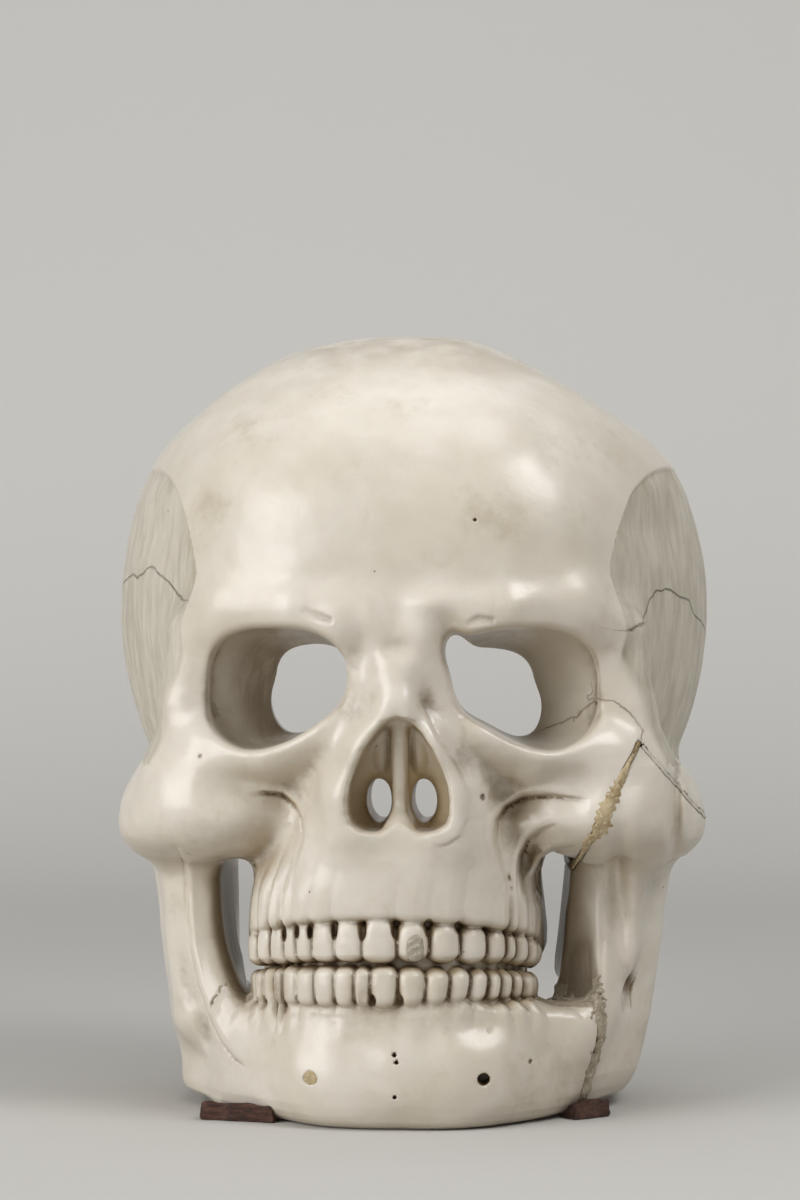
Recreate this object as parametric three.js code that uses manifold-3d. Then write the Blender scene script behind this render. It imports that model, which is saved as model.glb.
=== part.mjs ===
// A marble skull carved as a very deep relief: full in front, flat behind and hollowed out from
// behind. It stands on its chin and on two thin wedges. The arch and ramus on the viewer's
// right broke off once, and are pinned and mortared back on.
//
// X runs to the viewer's right, Y away from the viewer and Z up. Masses are given in X, in F,
// the distance forward of the flat back, and in Z.

import * as THREE from 'three';
import { mergeVertices } from 'three/addons/utils/BufferGeometryUtils.js';
import Module from 'manifold-3d';

const wasm = await Module();
wasm.setup();

// Overall sizes, in millimetres as all sizes here.
const skullWidth = 312;
const skullDepth = 190;
const skullHeight = 400;

// Stone left around the hollow behind.
const domeWall = 28;
const foreheadWall = 46;
const faceWall = 70;
const noseWall = 84;
const jawWall = 27;
const mouthWall = 32;

// How softly neighbouring masses run into each other.
const crispBlend = 4;
const firmBlend = 9;
const softBlend = 15;
const broadBlend = 22;

// The step down from the brow line to the temple.
const templeStep = 8;

// Orbits: the wide opening, and the bore that it narrows to.
const orbitWidth = 71;
const orbitHeight = 61;
const boreWidth = 46;
const boreHeight = 47;

// Nose: the opening, its floor, the blade that divides it, and the nostrils behind.
const noseWidth = 49;
const noseHeight = 58;
const noseRecess = 26;
const bladeWidth = 9;
const nostrilWidth = 13.2;
const nostrilHeight = 23;

// Teeth.
const upperCrown = 26;
const lowerCrown = 24;
const crownThickness = 16;
const crownOverlap = 0.8;
const biteDroop = 7.5;

// Mental holes of the chin.
const mentalWidth = 6;
const mentalDepth = 14;

// Seams of the repair, and the pins across them.
const cheekSeam = 3;
const rootSeam = 2;
const jawSeam = 6;
const pinWidth = 8;
const pinLength = 52;

// The chip made good on one incisor.
const patchWidth = 7.5;
const patchHeight = 12;
const patchDepth = 4;

// Wedges under the jaw, and the slope of the underside that they fill.
const wedgeDepth = 38;
const leftWedgeLength = 38;
const rightWedgeLength = 22;
const wedgeThick = 9;
const wedgeThin = 2;
const undersideRise = 14;

// What one piece keeps from the next, and how far a cutter runs past what it cuts.
const clearance = 0.3;
const overrun = 6;

const halfWidth = skullWidth / 2;
const biteLineShare = 0.204;
const biteLine = biteLineShare * skullHeight;
const beside = halfWidth + overrun;

// Masses. Each bead is X, F, Z and radius, as shares of the half width, the depth, the height
// and the half width.
const domeCentreShares = [0, 0.174, 0.6375];
const domeRadiusShares = [1, 0.753, 0.3625];
const domeStretchShare = 0.863;
const rightSlopeShares = [0.244, 0.994, 0.788, 0.868];
const leftSlopeShares = [0.41, 0.996, 0.837, 0.8705];
const foreheadCentreShares = [0.218, 0.484, 0.73];
const foreheadRadiusShares = [0.487, 0.384, 0.17];
const templeCentreShares = [0, 0.263, 0.625];
const templeRadiusShares = [0, 0.484, 0.2];
const templeFloorShare = 0.54;
const templeEdgeShares = [0.94, 1.01];
const templeFadeShares = [0.15, 0.5];
const browShares = [
  [0.032, 0.868, 0.5875, 0.061],
  [0.16, 0.868, 0.615, 0.067],
  [0.308, 0.842, 0.64, 0.071],
  [0.538, 0.768, 0.6425, 0.071],
];
const pillarShares = [
  [0.538, 0.763, 0.6425, 0.071],
  [0.686, 0.663, 0.6075, 0.077],
  [0.705, 0.653, 0.5125, 0.096],
  [0.705, 0.642, 0.45, 0.141],
];
const cheekCentreShares = [0.59, 0.632, 0.395];
const cheekRadiusShares = [0.301, 0.2, 0.0775];
const archShares = [
  [0.763, 0.505, 0.385, 0.179],
  [0.763, 0.326, 0.38, 0.173],
];
const archRootShares = [
  [0.788, 0.232, 0.3775, 0.167],
  [0.763, 0, 0.38, 0.167],
];
const orbitRimShares = [
  [0.256, 0.853, 0.49, 0.077],
  [0.423, 0.811, 0.4575, 0.077],
  [0.615, 0.726, 0.4625, 0.09],
];
const noseBridgeShares = [
  [0, 0.832, 0.6, 0.083],
  [0, 0.884, 0.56, 0.083],
  [0.019, 0.926, 0.515, 0.083],
  [0.096, 0.9, 0.455, 0.103],
  [0.135, 0.879, 0.4, 0.103],
];
const cheekGrooveShares = [
  [0.564, 0.863, 0.415, 0.038],
  [0.397, 0.926, 0.415, 0.051],
  [0.333, 0.953, 0.375, 0.045],
  [0.385, 0.926, 0.32, 0.032],
];
const ramusFrontShares = [
  [0.667, 0.547, 0.35, 0.077],
  [0.667, 0.542, 0.275, 0.077],
  [0.647, 0.553, 0.21, 0.083],
  [0.583, 0.595, 0.145, 0.096],
  [0.526, 0.642, 0.11, 0.096],
];
const ramusMiddleShares = [
  [0.731, 0.411, 0.35, 0.09],
  [0.712, 0.411, 0.23, 0.103],
  [0.667, 0.4, 0.115, 0.103],
  [0.635, 0.4, 0.05, 0.103],
];
const ramusBackShares = [
  [0.737, 0.274, 0.35, 0.09],
  [0.705, 0.274, 0.23, 0.096],
  [0.66, 0.263, 0.115, 0.096],
  [0.628, 0.263, 0.045, 0.103],
];
const chinCentreShares = [0.103, 0.821, 0.06];
const chinRadiusShares = [0.231, 0.095, 0.065];

// Masses with a bowed plan: rows of height, half width and front, and where the bow begins.
const upperJawShares = [
  [0.15, 0.474, 0.916],
  [0.21, 0.474, 0.921],
  [0.26, 0.474, 0.932],
  [0.3, 0.468, 0.942],
  [0.33, 0.455, 0.947],
  [0.375, 0.423, 0.942],
  [0.42, 0.372, 0.932],
  [0.475, 0.295, 0.911],
  [0.5375, 0.244, 0.884],
  [0.5875, 0.192, 0.842],
];
const upperJawBackShare = 0.474;
const toothCoreShares = [
  [0.13, 0.423, 0.874],
  [0.25, 0.423, 0.874],
];
const lowerJawShares = [
  [0, 0.67, 0.863],
  [0.01, 0.699, 0.889],
  [0.03, 0.718, 0.9],
  [0.075, 0.724, 0.911],
  [0.125, 0.705, 0.905],
  [0.15, 0.667, 0.911],
  [0.165, 0.628, 0.921],
];
const lowerJawBackShare = 0.232;

// How much further out the arch and the jaw stand on the left and on the right, by height.
const sideShares = [
  [0, 0.03, -0.03],
  [0.02, 0.02, -0.01],
  [0.05, 0.005, 0.012],
  [0.12, 0.004, 0.03],
  [0.25, 0.01, 0.03],
  [0.325, 0.03, 0.055],
  [0.35, 0.02, 0.05],
  [0.385, -0.006, 0.025],
  [0.42, -0.02, 0.012],
  [0.46, -0.018, 0.016],
  [0.52, 0, 0.01],
];
const sideFadeShares = [0.35, 0.6];

// Teeth: the arch that they stand on, and where each crown ends, as shares of a quarter turn
// from the middle.
const archCentreShare = 0.516;
const archWidthShare = 0.449;
const archDepthShare = 0.4;
const archOffsetShare = -0.026;
const archOffsetFadeShares = [0.275, 0.375];
const upperEdgeShares = [
  -0.833, -0.686, -0.587, -0.49, -0.42, -0.338, -0.238, -0.12, 0.023, 0.16, 0.291, 0.426,
  0.521, 0.588, 0.677, 0.76, 0.837,
];
const lowerEdgeShares = [
  -0.811, -0.744, -0.65, -0.556, -0.5, -0.427, -0.336, -0.251, -0.151, -0.084, 0.028, 0.157,
  0.266, 0.356, 0.449, 0.514, 0.588, 0.656, 0.749, 0.822,
];
const crownHeightShares = [0, 0.3, 0.62, 0.88, 1];
const crownSectionShares = [0.8, 0.96, 1, 0.9, 0.62];

// The nose opening: half width by height, from the bottom up.
const noseOutlineShares = [
  [0.367, 0],
  [0.653, 0.035],
  [0.857, 0.08],
  [1, 0.18],
  [0.98, 0.28],
  [0.857, 0.42],
  [0.633, 0.61],
  [0.449, 0.77],
  [0.286, 0.9],
  [0.102, 1],
];
const noseBottomShare = 0.3638;

// The space between the upper jaw and the ramus: inner and outer edge by height.
const gapShares = [
  [0.145, 0.503, 0.513],
  [0.16, 0.5, 0.526],
  [0.18, 0.5, 0.558],
  [0.21, 0.5, 0.59],
  [0.25, 0.506, 0.609],
  [0.295, 0.513, 0.622],
  [0.3175, 0.538, 0.596],
];

const gapRightShares = [-0.042, 0.019];

// The line of the break as it is seen from the front, from the silhouette to the gap.
const seamShares = [
  [1.038, 0.345],
  [0.755, 0.4725],
  [0.538, 0.3068],
];

const at = (xShare, fShare, zShare) => [
  xShare * halfWidth,
  fShare * skullDepth,
  zShare * skullHeight,
];
const beads = (shares) => shares.map(([x, f, z, radius]) => [...at(x, f, z), radius * halfWidth]);

// Distance of a point to a mass: negative inside, positive outside.

function blend(a, b, reach) {
  const share = THREE.MathUtils.clamp(0.5 + (0.5 * (b - a)) / reach, 0, 1);
  return b + (a - b) * share - reach * share * (1 - share);
}

function trim(a, b, reach) {
  return -blend(-a, -b, reach);
}

function egg([x, f, z], centre, radii) {
  const shares = [x, f, z].map((value, i) => (value - centre[i]) / radii[i]);
  const near = Math.hypot(...shares);
  const steep = Math.hypot(...shares.map((value, i) => value / radii[i]));
  return steep > 0 ? (near * (near - 1)) / steep : -Math.min(...radii);
}

function limb([x, f, z], row) {
  let nearest = Infinity;
  for (let i = 1; i < row.length; i += 1) {
    const [ax, af, az, ar] = row[i - 1];
    const [bx, bf, bz, br] = row[i];
    const run = [bx - ax, bf - af, bz - az];
    const along = (x - ax) * run[0] + (f - af) * run[1] + (z - az) * run[2];
    const share = THREE.MathUtils.clamp(along / (run[0] ** 2 + run[1] ** 2 + run[2] ** 2), 0, 1);
    const off = Math.hypot(x - ax - share * run[0], f - af - share * run[1], z - az - share * run[2]);
    nearest = Math.min(nearest, off - THREE.MathUtils.lerp(ar, br, share));
  }
  return nearest;
}

// The row of a table at a height, between the rows above and below.
function rowAt(table, z) {
  const height = z / skullHeight;
  const next = table.findIndex((row) => row[0] > height);
  if (next === 0) {
    return table[0].slice(1);
  }
  if (next < 0) {
    return table[table.length - 1].slice(1);
  }
  const [low, high] = [table[next - 1], table[next]];
  const share = (height - low[0]) / (high[0] - low[0]);
  return low.slice(1).map((value, i) => THREE.MathUtils.lerp(value, high[i + 1], share));
}

// A mass with a bowed plan, of a half width and a front.
function bowPlan([x, f], wide, front, back, power) {
  const across = Math.abs(x) / wide;
  const forward = Math.max(f - back, 0) / (front - back);
  return ((across ** power + forward ** power) ** (1 / power) - 1) * wide;
}

function bow(point, table, backShare, power) {
  const [wide, front] = rowAt(table, point[2]);
  return bowPlan(point, wide * halfWidth, front * skullDepth, backShare * skullDepth, power);
}

// How far a point lies above the straight line through two points seen from the front.
function aboveLine(x, z, [ax, az, bx, bz]) {
  const run = [(bx - ax) * halfWidth, (bz - az) * skullHeight];
  const off = [x - ax * halfWidth, z - az * skullHeight];
  return (off[1] * run[0] - off[0] * run[1]) / Math.hypot(...run);
}

// The cranium: an egg with flattened shoulders, a full forehead and a step at each temple.
const domeCentre = at(...domeCentreShares);
const domeRadii = at(...domeRadiusShares);
const foreheadCentre = at(...foreheadCentreShares);
const foreheadRadii = at(...foreheadRadiusShares);
const templeCentre = at(...templeCentreShares);
const templeRadii = at(...templeRadiusShares);
const craniumFloorShare = 0.4;

function cranium([x, f, z]) {
  const wide = Math.abs(x);
  const low = Math.min(z - domeCentre[2], 0) * domeStretchShare;
  const level = domeCentre[2] + low + Math.max(z - domeCentre[2], 0);
  const slope = aboveLine(wide, z, x > 0 ? rightSlopeShares : leftSlopeShares);
  const power = z > domeCentre[2] ? 2.2 : 2;
  const upward = Math.abs(level - domeCentre[2]) / domeRadii[2];
  const outward = ((wide / domeRadii[0]) ** power + upward ** power) ** (1 / power);
  const turned = [outward * domeRadii[0], f, domeCentre[2]];
  const dome = trim(egg(turned, domeCentre, domeRadii), slope, firmBlend);
  const full = blend(dome, egg([wide, f, z], foreheadCentre, foreheadRadii), broadBlend);
  const forward = Math.abs(f - templeCentre[1]) / templeRadii[1];
  const inward = Math.max(z, templeFloorShare * skullHeight);
  const aside = Math.abs(inward - templeCentre[2]) / templeRadii[2];
  const inTemple = (forward ** 2.6 + aside ** 2.6) ** (1 / 2.6);
  const edge = 1 - THREE.MathUtils.smoothstep(inTemple, ...templeEdgeShares);
  const fade = THREE.MathUtils.smoothstep(f / skullDepth, ...templeFadeShares);
  return trim(full + templeStep * edge * fade, craniumFloorShare * skullHeight - z, softBlend);
}

// Brow, cheekbone and arch.
const brow = beads(browShares);
const pillar = beads(pillarShares);
const cheekCentre = at(...cheekCentreShares);
const cheekRadii = at(...cheekRadiusShares);
const arch = beads(archShares);
const archRoot = beads(archRootShares);
const orbitRim = beads(orbitRimShares);
const noseBridge = beads(noseBridgeShares);
const cheekGroove = beads(cheekGrooveShares);

function cheekAndArch(point) {
  const cheek = blend(egg(point, cheekCentre, cheekRadii), limb(point, arch), broadBlend);
  return blend(cheek, limb(point, archRoot), crispBlend);
}

// The jaws are carved a little off the middle.
const archOffset = archOffsetShare * halfWidth;

function leaning([x, f, z]) {
  const fade = 1 - THREE.MathUtils.smoothstep(z / skullHeight, ...archOffsetFadeShares);
  return [Math.abs(x - archOffset * fade), f, z];
}

// The upper jaw, from the teeth up to the root of the nose.
const upperJawTopShare = 0.6;
const jawBackShare = 0.316;

function upperJaw(point) {
  const [, f, z] = point;
  const mass = bow(point, upperJawShares, upperJawBackShare, 2.4);
  const tall = trim(mass, Math.max(z - upperJawTopShare * skullHeight, biteLine - z), firmBlend);
  return trim(tall, jawBackShare * skullDepth - f, firmBlend);
}

function toothCore(point) {
  const [, f, z] = point;
  const tall = Math.max(z - biteLine - upperCrown, biteLine - lowerCrown - z);
  const behind = jawBackShare * skullDepth - f;
  return Math.max(bow(point, toothCoreShares, upperJawBackShare, 2.3), tall, behind);
}

// The lower jaw, with its chin and its rami, which run on to the back until they are cut off.
const chinCentre = at(...chinCentreShares);
const chinRadii = at(...chinRadiusShares);
const ramusFront = beads(ramusFrontShares);
const ramusMiddle = beads(ramusMiddleShares);
const ramusBack = beads(ramusBackShares);
const gumShare = 0.1575;

function lowerJaw(point) {
  const bowed = bow(point, lowerJawShares, lowerJawBackShare, 2.15);
  const body = trim(bowed, point[2] - gumShare * skullHeight, firmBlend);
  const chinned = blend(body, egg(point, chinCentre, chinRadii), broadBlend);
  const level = [point[0], Math.max(point[1], ramusBack[0][1]), point[2]];
  const rear = blend(limb(point, ramusMiddle), limb(level, ramusBack), softBlend);
  const ramus = blend(limb(point, ramusFront), rear, softBlend);
  return blend(chinned, ramus, softBlend);
}

// The two sides of the arch and the jaw aren't alike.
function sided([x, f, z]) {
  const [left, right] = rowAt(sideShares, z);
  const wide = Math.abs(x);
  const fade = THREE.MathUtils.smoothstep(wide / halfWidth, ...sideFadeShares);
  return [wide - (x > 0 ? right : left) * halfWidth * fade, f, z];
}

function stone([x, f, z]) {
  const point = sided([x, f, z]);
  let mass = blend(cranium([x, f, z]), limb(point, brow), broadBlend);
  mass = blend(mass, limb(point, pillar), softBlend);
  mass = blend(mass, cheekAndArch(point), softBlend);
  mass = blend(mass, limb(point, orbitRim), softBlend);
  mass = blend(mass, upperJaw(leaning([x, f, z])), softBlend);
  mass = blend(mass, limb(point, noseBridge), softBlend);
  mass = Math.min(mass, toothCore(leaning([x, f, z])));
  mass = blend(mass, lowerJaw(point), firmBlend);
  return trim(mass, -limb(point, cheekGroove), firmBlend);
}

// The hollow behind: a dome over a narrower throat that opens downwards through the jaw.
const throatTopShare = 0.32;
const jawSideShare = 0.724;
const jawFrontShare = 0.911;
const faceCentreShares = [0, -0.053, 0.4125];
const faceRiseShare = 0.2;
const faceCentre = at(...faceCentreShares);

function hollow(point) {
  const dome = egg(point, [0, 0, domeCentre[2]], [
    domeRadii[0] - domeWall,
    domeCentre[1] + domeRadii[1] - foreheadWall,
    domeRadii[2] - domeWall,
  ]);
  const face = egg(point, faceCentre, [
    halfWidth - faceWall,
    skullDepth - noseWall - faceCentre[1],
    faceRiseShare * skullHeight,
  ]);
  const back = lowerJawBackShare * skullDepth;
  const jawSide = jawSideShare * halfWidth - jawWall;
  const jaw = bowPlan(point, jawSide, jawFrontShare * skullDepth - jawWall, back, 2.1);
  const mouthSide = (archWidthShare + archOffsetShare) * halfWidth + crownThickness - mouthWall;
  const mouth = bowPlan(point, mouthSide, jawFrontShare * skullDepth - mouthWall, back, 2.1);
  const throat = trim(mouth, point[2] - throatTopShare * skullHeight, broadBlend);
  const under = trim(jaw, point[2] - gumShare * skullHeight, firmBlend);
  return blend(blend(dome, face, broadBlend), blend(throat, under, firmBlend), softBlend);
}

// Solids.

// A closed mesh as a solid, with its faces turned outwards.
function solid(points, faces) {
  const world = points.map(([x, f, z]) => new THREE.Vector3(x, skullDepth / 2 - f, z));
  const volume = faces.reduce(
    (sum, [a, b, c]) => sum + world[a].dot(new THREE.Vector3().crossVectors(world[b], world[c])),
    0,
  );
  const turned = volume > 0 ? faces : faces.map(([a, b, c]) => [a, c, b]);
  const geometry = new THREE.BufferGeometry();
  geometry.setAttribute('position', new THREE.Float32BufferAttribute(world.flatMap((p) => p.toArray()), 3));
  geometry.setIndex(turned.flat());
  const merged = mergeVertices(geometry);
  return new wasm.Manifold(new wasm.Mesh({
    numProp: 3,
    vertProperties: merged.attributes.position.array,
    triVerts: Uint32Array.from(merged.index.array),
  }));
}

// A solid through rings of points, closed with a flat fan at each end.
function loft(rings) {
  const count = rings[0].length;
  const points = rings.flat();
  const faces = [];
  for (let i = 0; i + 1 < rings.length; i += 1) {
    for (let j = 0; j < count; j += 1) {
      const a = i * count + j;
      const b = i * count + ((j + 1) % count);
      faces.push([a, b, b + count], [a, b + count, a + count]);
    }
  }
  const last = (rings.length - 1) * count;
  for (let j = 1; j + 1 < count; j += 1) {
    faces.push([0, j + 1, j], [last, last + j, last + j + 1]);
  }
  return solid(points, faces);
}

// The skin of a mass. Level rays leave the middle of the back up to the middle of the dome, and
// rising rays go on from there to the crown, denser in front than at the sides.
const skinDensityShare = 0.72;

function skin(mass, from, heights, columns, domes) {
  const levels = heights.length;
  const middle = domeCentre[2];
  const farthest = skullHeight;
  const stride = skullHeight / 160;
  const pushOut = (start, way) => {
    const spot = (run) => start.map((value, i) => value + way[i] * run);
    let inside = farthest;
    while (inside > 0 && mass(spot(inside)) > 0) {
      inside -= stride;
    }
    let outside = inside + stride;
    for (let i = 0; i < 14; i += 1) {
      const half = (inside + outside) / 2;
      if (mass(spot(half)) > 0) {
        outside = half;
      } else {
        inside = half;
      }
    }
    return spot(inside);
  };
  const turnOf = (j) => {
    const share = (2 * j) / columns - 1;
    return (Math.PI / 2) * (skinDensityShare * share + (1 - skinDensityShare) * share ** 3);
  };
  const points = [];
  for (let i = 0; i < levels + domes; i += 1) {
    const rise = i < levels ? 0 : ((i - levels) / domes) * (Math.PI / 2);
    const z = i < levels ? heights[i] : middle;
    for (let j = 0; j <= columns; j += 1) {
      const level = [Math.sin(turnOf(j)), Math.cos(turnOf(j))].map((value) => value * Math.cos(rise));
      const flat = j === 0 || j === columns;
      points.push(pushOut([0, from, z], [level[0], flat ? 0 : level[1], Math.sin(rise)]));
    }
  }
  const crown = points.push(pushOut([0, from, middle], [0, 0, 1])) - 1;
  const row = columns + 1;
  const faces = [];
  for (let i = 0; i + 1 < levels + domes; i += 1) {
    for (let j = 0; j < row; j += 1) {
      const a = i * row + j;
      const b = i * row + ((j + 1) % row);
      faces.push([a, b, b + row], [a, b + row, a + row]);
    }
  }
  const top = (levels + domes - 1) * row;
  for (let j = 0; j < row; j += 1) {
    faces.push([top + j, top + ((j + 1) % row), crown]);
  }
  for (let j = 0; 2 * j + 1 < columns; j += 1) {
    faces.push([j, columns - j, j + 1]);
    if (2 * j + 2 < columns) {
      faces.push([j + 1, columns - j, columns - j - 1]);
    }
  }
  return solid(points, faces);
}

// A point of a rounded rectangle of half sizes wide and deep: a higher power is squarer.
function rounded(turn, wide, deep, power) {
  const swell = (value) => Math.sign(value) * Math.abs(value) ** (2 / power);
  return [wide * swell(Math.cos(turn)), deep * swell(Math.sin(turn))];
}

const turns = (count) => Array.from({ length: count }, (_, i) => ((i + 0.5) / count) * 2 * Math.PI);

// A straight bar of a front outline in X and Z, from one distance forward to another.
function bar(outline, fromF, toF) {
  return loft([fromF, toF].map((f) => outline.map(([x, z]) => [x, f, z])));
}

// A round pin between two points, with its ends pushed out or drawn in by one length.
function pin(a, b, radius, longer) {
  const start = new THREE.Vector3(...a);
  const end = new THREE.Vector3(...b);
  const way = end.clone().sub(start).normalize();
  const side = new THREE.Vector3(0, 0, 1).cross(way);
  if (side.lengthSq() < 0.01) {
    side.set(1, 0, 0);
  }
  side.normalize();
  const over = way.clone().cross(side);
  const ring = (middle) => turns(16).map((turn) => middle.clone()
    .addScaledVector(side, radius * Math.cos(turn))
    .addScaledVector(over, radius * Math.sin(turn))
    .toArray());
  return loft([ring(start.addScaledVector(way, -longer)), ring(end.addScaledVector(way, longer))]);
}

// The block before it is pierced.
const stoneHeights = Array.from({ length: 38 }, (_, i) => (i / 38) * domeCentre[2]);
let block = skin(stone, 0, stoneHeights, 52, 11);

// Crowns. Each stands square to the arch, from its root in the gum to the bite.
const archCentre = archCentreShare * skullDepth;

function onArch(turnShare) {
  const turn = (turnShare * Math.PI) / 2;
  return [
    archOffset + archWidthShare * halfWidth * Math.sin(turn),
    archCentre + archDepthShare * skullDepth * Math.cos(turn),
  ];
}

const crownFaceShares = [0, 0.167, 0.344, 0.656, 0.833, 1];
const lastEdgeShare = upperEdgeShares[upperEdgeShares.length - 1];

function crown(fromShare, toShare, rootHeight, tall) {
  const [a, b] = [onArch(fromShare), onArch(toShare)];
  const middleShare = (fromShare + toShare) / 2;
  const middle = onArch(middleShare);
  const wide = Math.hypot(b[0] - a[0], b[1] - a[1]);
  const along = [(b[0] - a[0]) / wide, (b[1] - a[1]) / wide];
  const drop = biteDroop * (middleShare / lastEdgeShare) ** 2;
  return loft(crownHeightShares.map((heightShare, i) => {
    const z = rootHeight + tall * heightShare - drop;
    const half = (wide / 2 + crownOverlap) * crownSectionShares[i];
    const deep = (crownThickness / 2) * crownSectionShares[i];
    const face = crownFaceShares.map((share) => rounded(share * Math.PI, half, deep, 3));
    return [...face, [-half, -crownThickness / 2], [half, -crownThickness / 2]].map(([u, v]) => [
      middle[0] + u * along[0] - v * along[1],
      middle[1] + u * along[1] + v * along[0],
      z,
    ]);
  }));
}

for (let i = 1; i < upperEdgeShares.length; i += 1) {
  const edges = upperEdgeShares.slice(i - 1, i + 1);
  block = block.add(crown(...edges, biteLine + upperCrown, clearance - upperCrown));
}
for (let i = 1; i < lowerEdgeShares.length; i += 1) {
  const edges = lowerEdgeShares.slice(i - 1, i + 1);
  block = block.add(crown(...edges, biteLine - lowerCrown, lowerCrown - clearance));
}

// The hollow behind.
const hollowHeightShares = [
  0.04, 0.1, 0.135, 0.155, 0.175, 0.22, 0.265, 0.285, 0.3, 0.315, 0.33, 0.345, 0.365, 0.4,
  0.45, 0.5, 0.55, 0.6,
];
const hollowHeights = [-overrun, ...hollowHeightShares.map((share) => share * skullHeight)];
block = block.subtract(skin(hollow, -overrun, hollowHeights, 26, 7));

// Orbits: each narrows from the rim to its bore, with the lower inner corner cut across.
const orbitCentreShares = [
  [0.393, 0.5387],
  [0.298, 0.5275],
];
const orbitReachShares = [0.811, 0.568, 0.316];
const orbitStepShares = [0, 0.15, 0.35, 0.55, 0.75, 0.9, 1];
const orbitCornerShares = [0.173, 0.52];
const orbitCornerTurnShare = 0.656;
const mix = THREE.MathUtils.lerp;

function orbitRing(side, share, f) {
  const narrow = share ** 1.9;
  const centre = [0, 1].map((i) => mix(orbitCentreShares[0][i], orbitCentreShares[1][i], share));
  const wide = mix(orbitWidth, boreWidth, narrow) / 2;
  const tall = mix(orbitHeight, boreHeight, narrow) / 2;
  const cornerTurn = 2 * Math.PI * orbitCornerTurnShare;
  const corner = [Math.cos(cornerTurn), Math.sin(cornerTurn)];
  return turns(28).map((turn) => {
    const [u, v] = rounded(turn, wide, tall, mix(2.8, 2, narrow));
    let x = centre[0] * halfWidth + u;
    let z = centre[1] * skullHeight + v;
    const past = (x - orbitCornerShares[0] * halfWidth) * corner[0]
      + (z - orbitCornerShares[1] * skullHeight) * corner[1];
    if (past > 0) {
      x -= past * corner[0];
      z -= past * corner[1];
    }
    return [side * x, f, z];
  });
}

for (const side of [-1, 1]) {
  const [rim, throat, behind] = orbitReachShares.map((share) => share * skullDepth);
  const rings = orbitStepShares.map((share) => orbitRing(side, share, mix(rim, throat, share)));
  rings.unshift(orbitRing(side, 0, skullDepth + overrun));
  rings.push(orbitRing(side, 1, behind));
  block = block.subtract(loft(rings));
}

// The nose opening, its blade, and the two nostrils that reach the hollow.
const noseBottom = noseBottomShare * skullHeight;
const noseFrontShare = 0.926;
const noseFloorRiseShare = 0.084;
const noseMiddleShare = 0.35;
const noseFloor = noseFrontShare * skullDepth - noseRecess;
const noseFloorRise = noseFloorRiseShare * skullDepth;
const noseRingShares = [[1, 1], [0.4, 0.94], [0.12, 0.84], [0, 0.66]];
const noseFront = skullDepth + overrun;
const noseMiddle = noseBottom + noseMiddleShare * noseHeight;

function noseRing([forwardShare, sizeShare]) {
  const half = noseOutlineShares.map(([w, h]) => [(w * noseWidth) / 2, noseBottom + h * noseHeight]);
  const outline = [...half, ...half.toReversed().map(([x, z]) => [-x, z])];
  return outline.map(([x, z]) => {
    const floor = noseFloor + (noseFloorRise * (z - noseBottom)) / noseHeight;
    const f = forwardShare === 1 ? noseFront : floor + noseRecess * forwardShare;
    return [x * sizeShare, f, noseMiddle + (z - noseMiddle) * sizeShare];
  });
}

const bladeShares = { top: 0.905, bottom: 0.858, back: 0.632 };
const bladeSideShares = [-1, -0.4, 0.4, 1];
const [bladeTop, bladeBottom, bladeBack] = Object.values(bladeShares).map((share) => share * skullDepth);
const blade = loft(bladeSideShares.map((share) => {
  const inset = Math.abs(share) === 1 ? bladeWidth / 2 : 0;
  return [
    [share * bladeWidth / 2, bladeBack, noseBottom - overrun],
    [share * bladeWidth / 2, bladeBottom - inset, noseBottom - overrun],
    [share * bladeWidth / 2, bladeTop - inset, noseBottom + noseHeight + overrun],
    [share * bladeWidth / 2, bladeBack, noseBottom + noseHeight + overrun],
  ];
}));
block = block.subtract(loft(noseRingShares.map(noseRing)).subtract(blade));

const nostrilShares = [0.07, 0.4062];
const nostrilReachShares = [0.495, 0.884];
const nostrilReach = nostrilReachShares.map((share) => share * skullDepth);
for (const side of [-1, 1]) {
  const outline = turns(16).map((turn) => {
    const [u, v] = rounded(turn, nostrilWidth / 2, nostrilHeight / 2, 2);
    return [side * nostrilShares[0] * halfWidth + u, nostrilShares[1] * skullHeight + v];
  });
  block = block.subtract(bar(outline, ...nostrilReach));
}

// Behind the upper jaw the space between the rami is open.
const openShares = [0.59, 0.316, 0.145, 0.315];
const openHalf = openShares[0] * halfWidth;
block = block.subtract(loft([openShares[2], openShares[3]].map((share) => [
  [-openHalf, -overrun, share * skullHeight],
  [openHalf, -overrun, share * skullHeight],
  [openHalf, openShares[1] * skullDepth, share * skullHeight],
  [-openHalf, openShares[1] * skullDepth, share * skullHeight],
])));

// The space between the upper jaw and each ramus.
const gapBackShare = 0.105;
const gapReach = [gapBackShare * skullDepth, skullDepth + overrun];
for (const side of [-1, 1]) {
  const [nearer, farther] = side > 0 ? gapRightShares : [0, 0];
  const inner = gapShares.map(([z, x]) => [side * (x + nearer) * halfWidth, z * skullHeight]);
  const outer = gapShares.map(([z, , x]) => [side * (x + farther) * halfWidth, z * skullHeight]);
  block = block.subtract(bar([...inner, ...outer.toReversed()], ...gapReach));
}

// The rami end short of the back, in an edge that turns forward under the angle of the jaw.
const ramusEdgeShares = [
  [0.189, 0.315],
  [0.2, 0.25],
  [0.179, 0.15],
  [0.189, 0.065],
  [0.232, 0.025],
  [0.326, 0],
];
const ramusEdge = ramusEdgeShares.map(([f, z]) => [f * skullDepth, z * skullHeight]);
const rearCut = [
  ...ramusEdge,
  [ramusEdge[ramusEdge.length - 1][0], -overrun],
  [-overrun, -overrun],
  [-overrun, ramusEdge[0][1]],
];
block = block.subtract(loft([-beside, beside].map((x) => rearCut.map(([f, z]) => [x, f, z]))));

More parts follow.
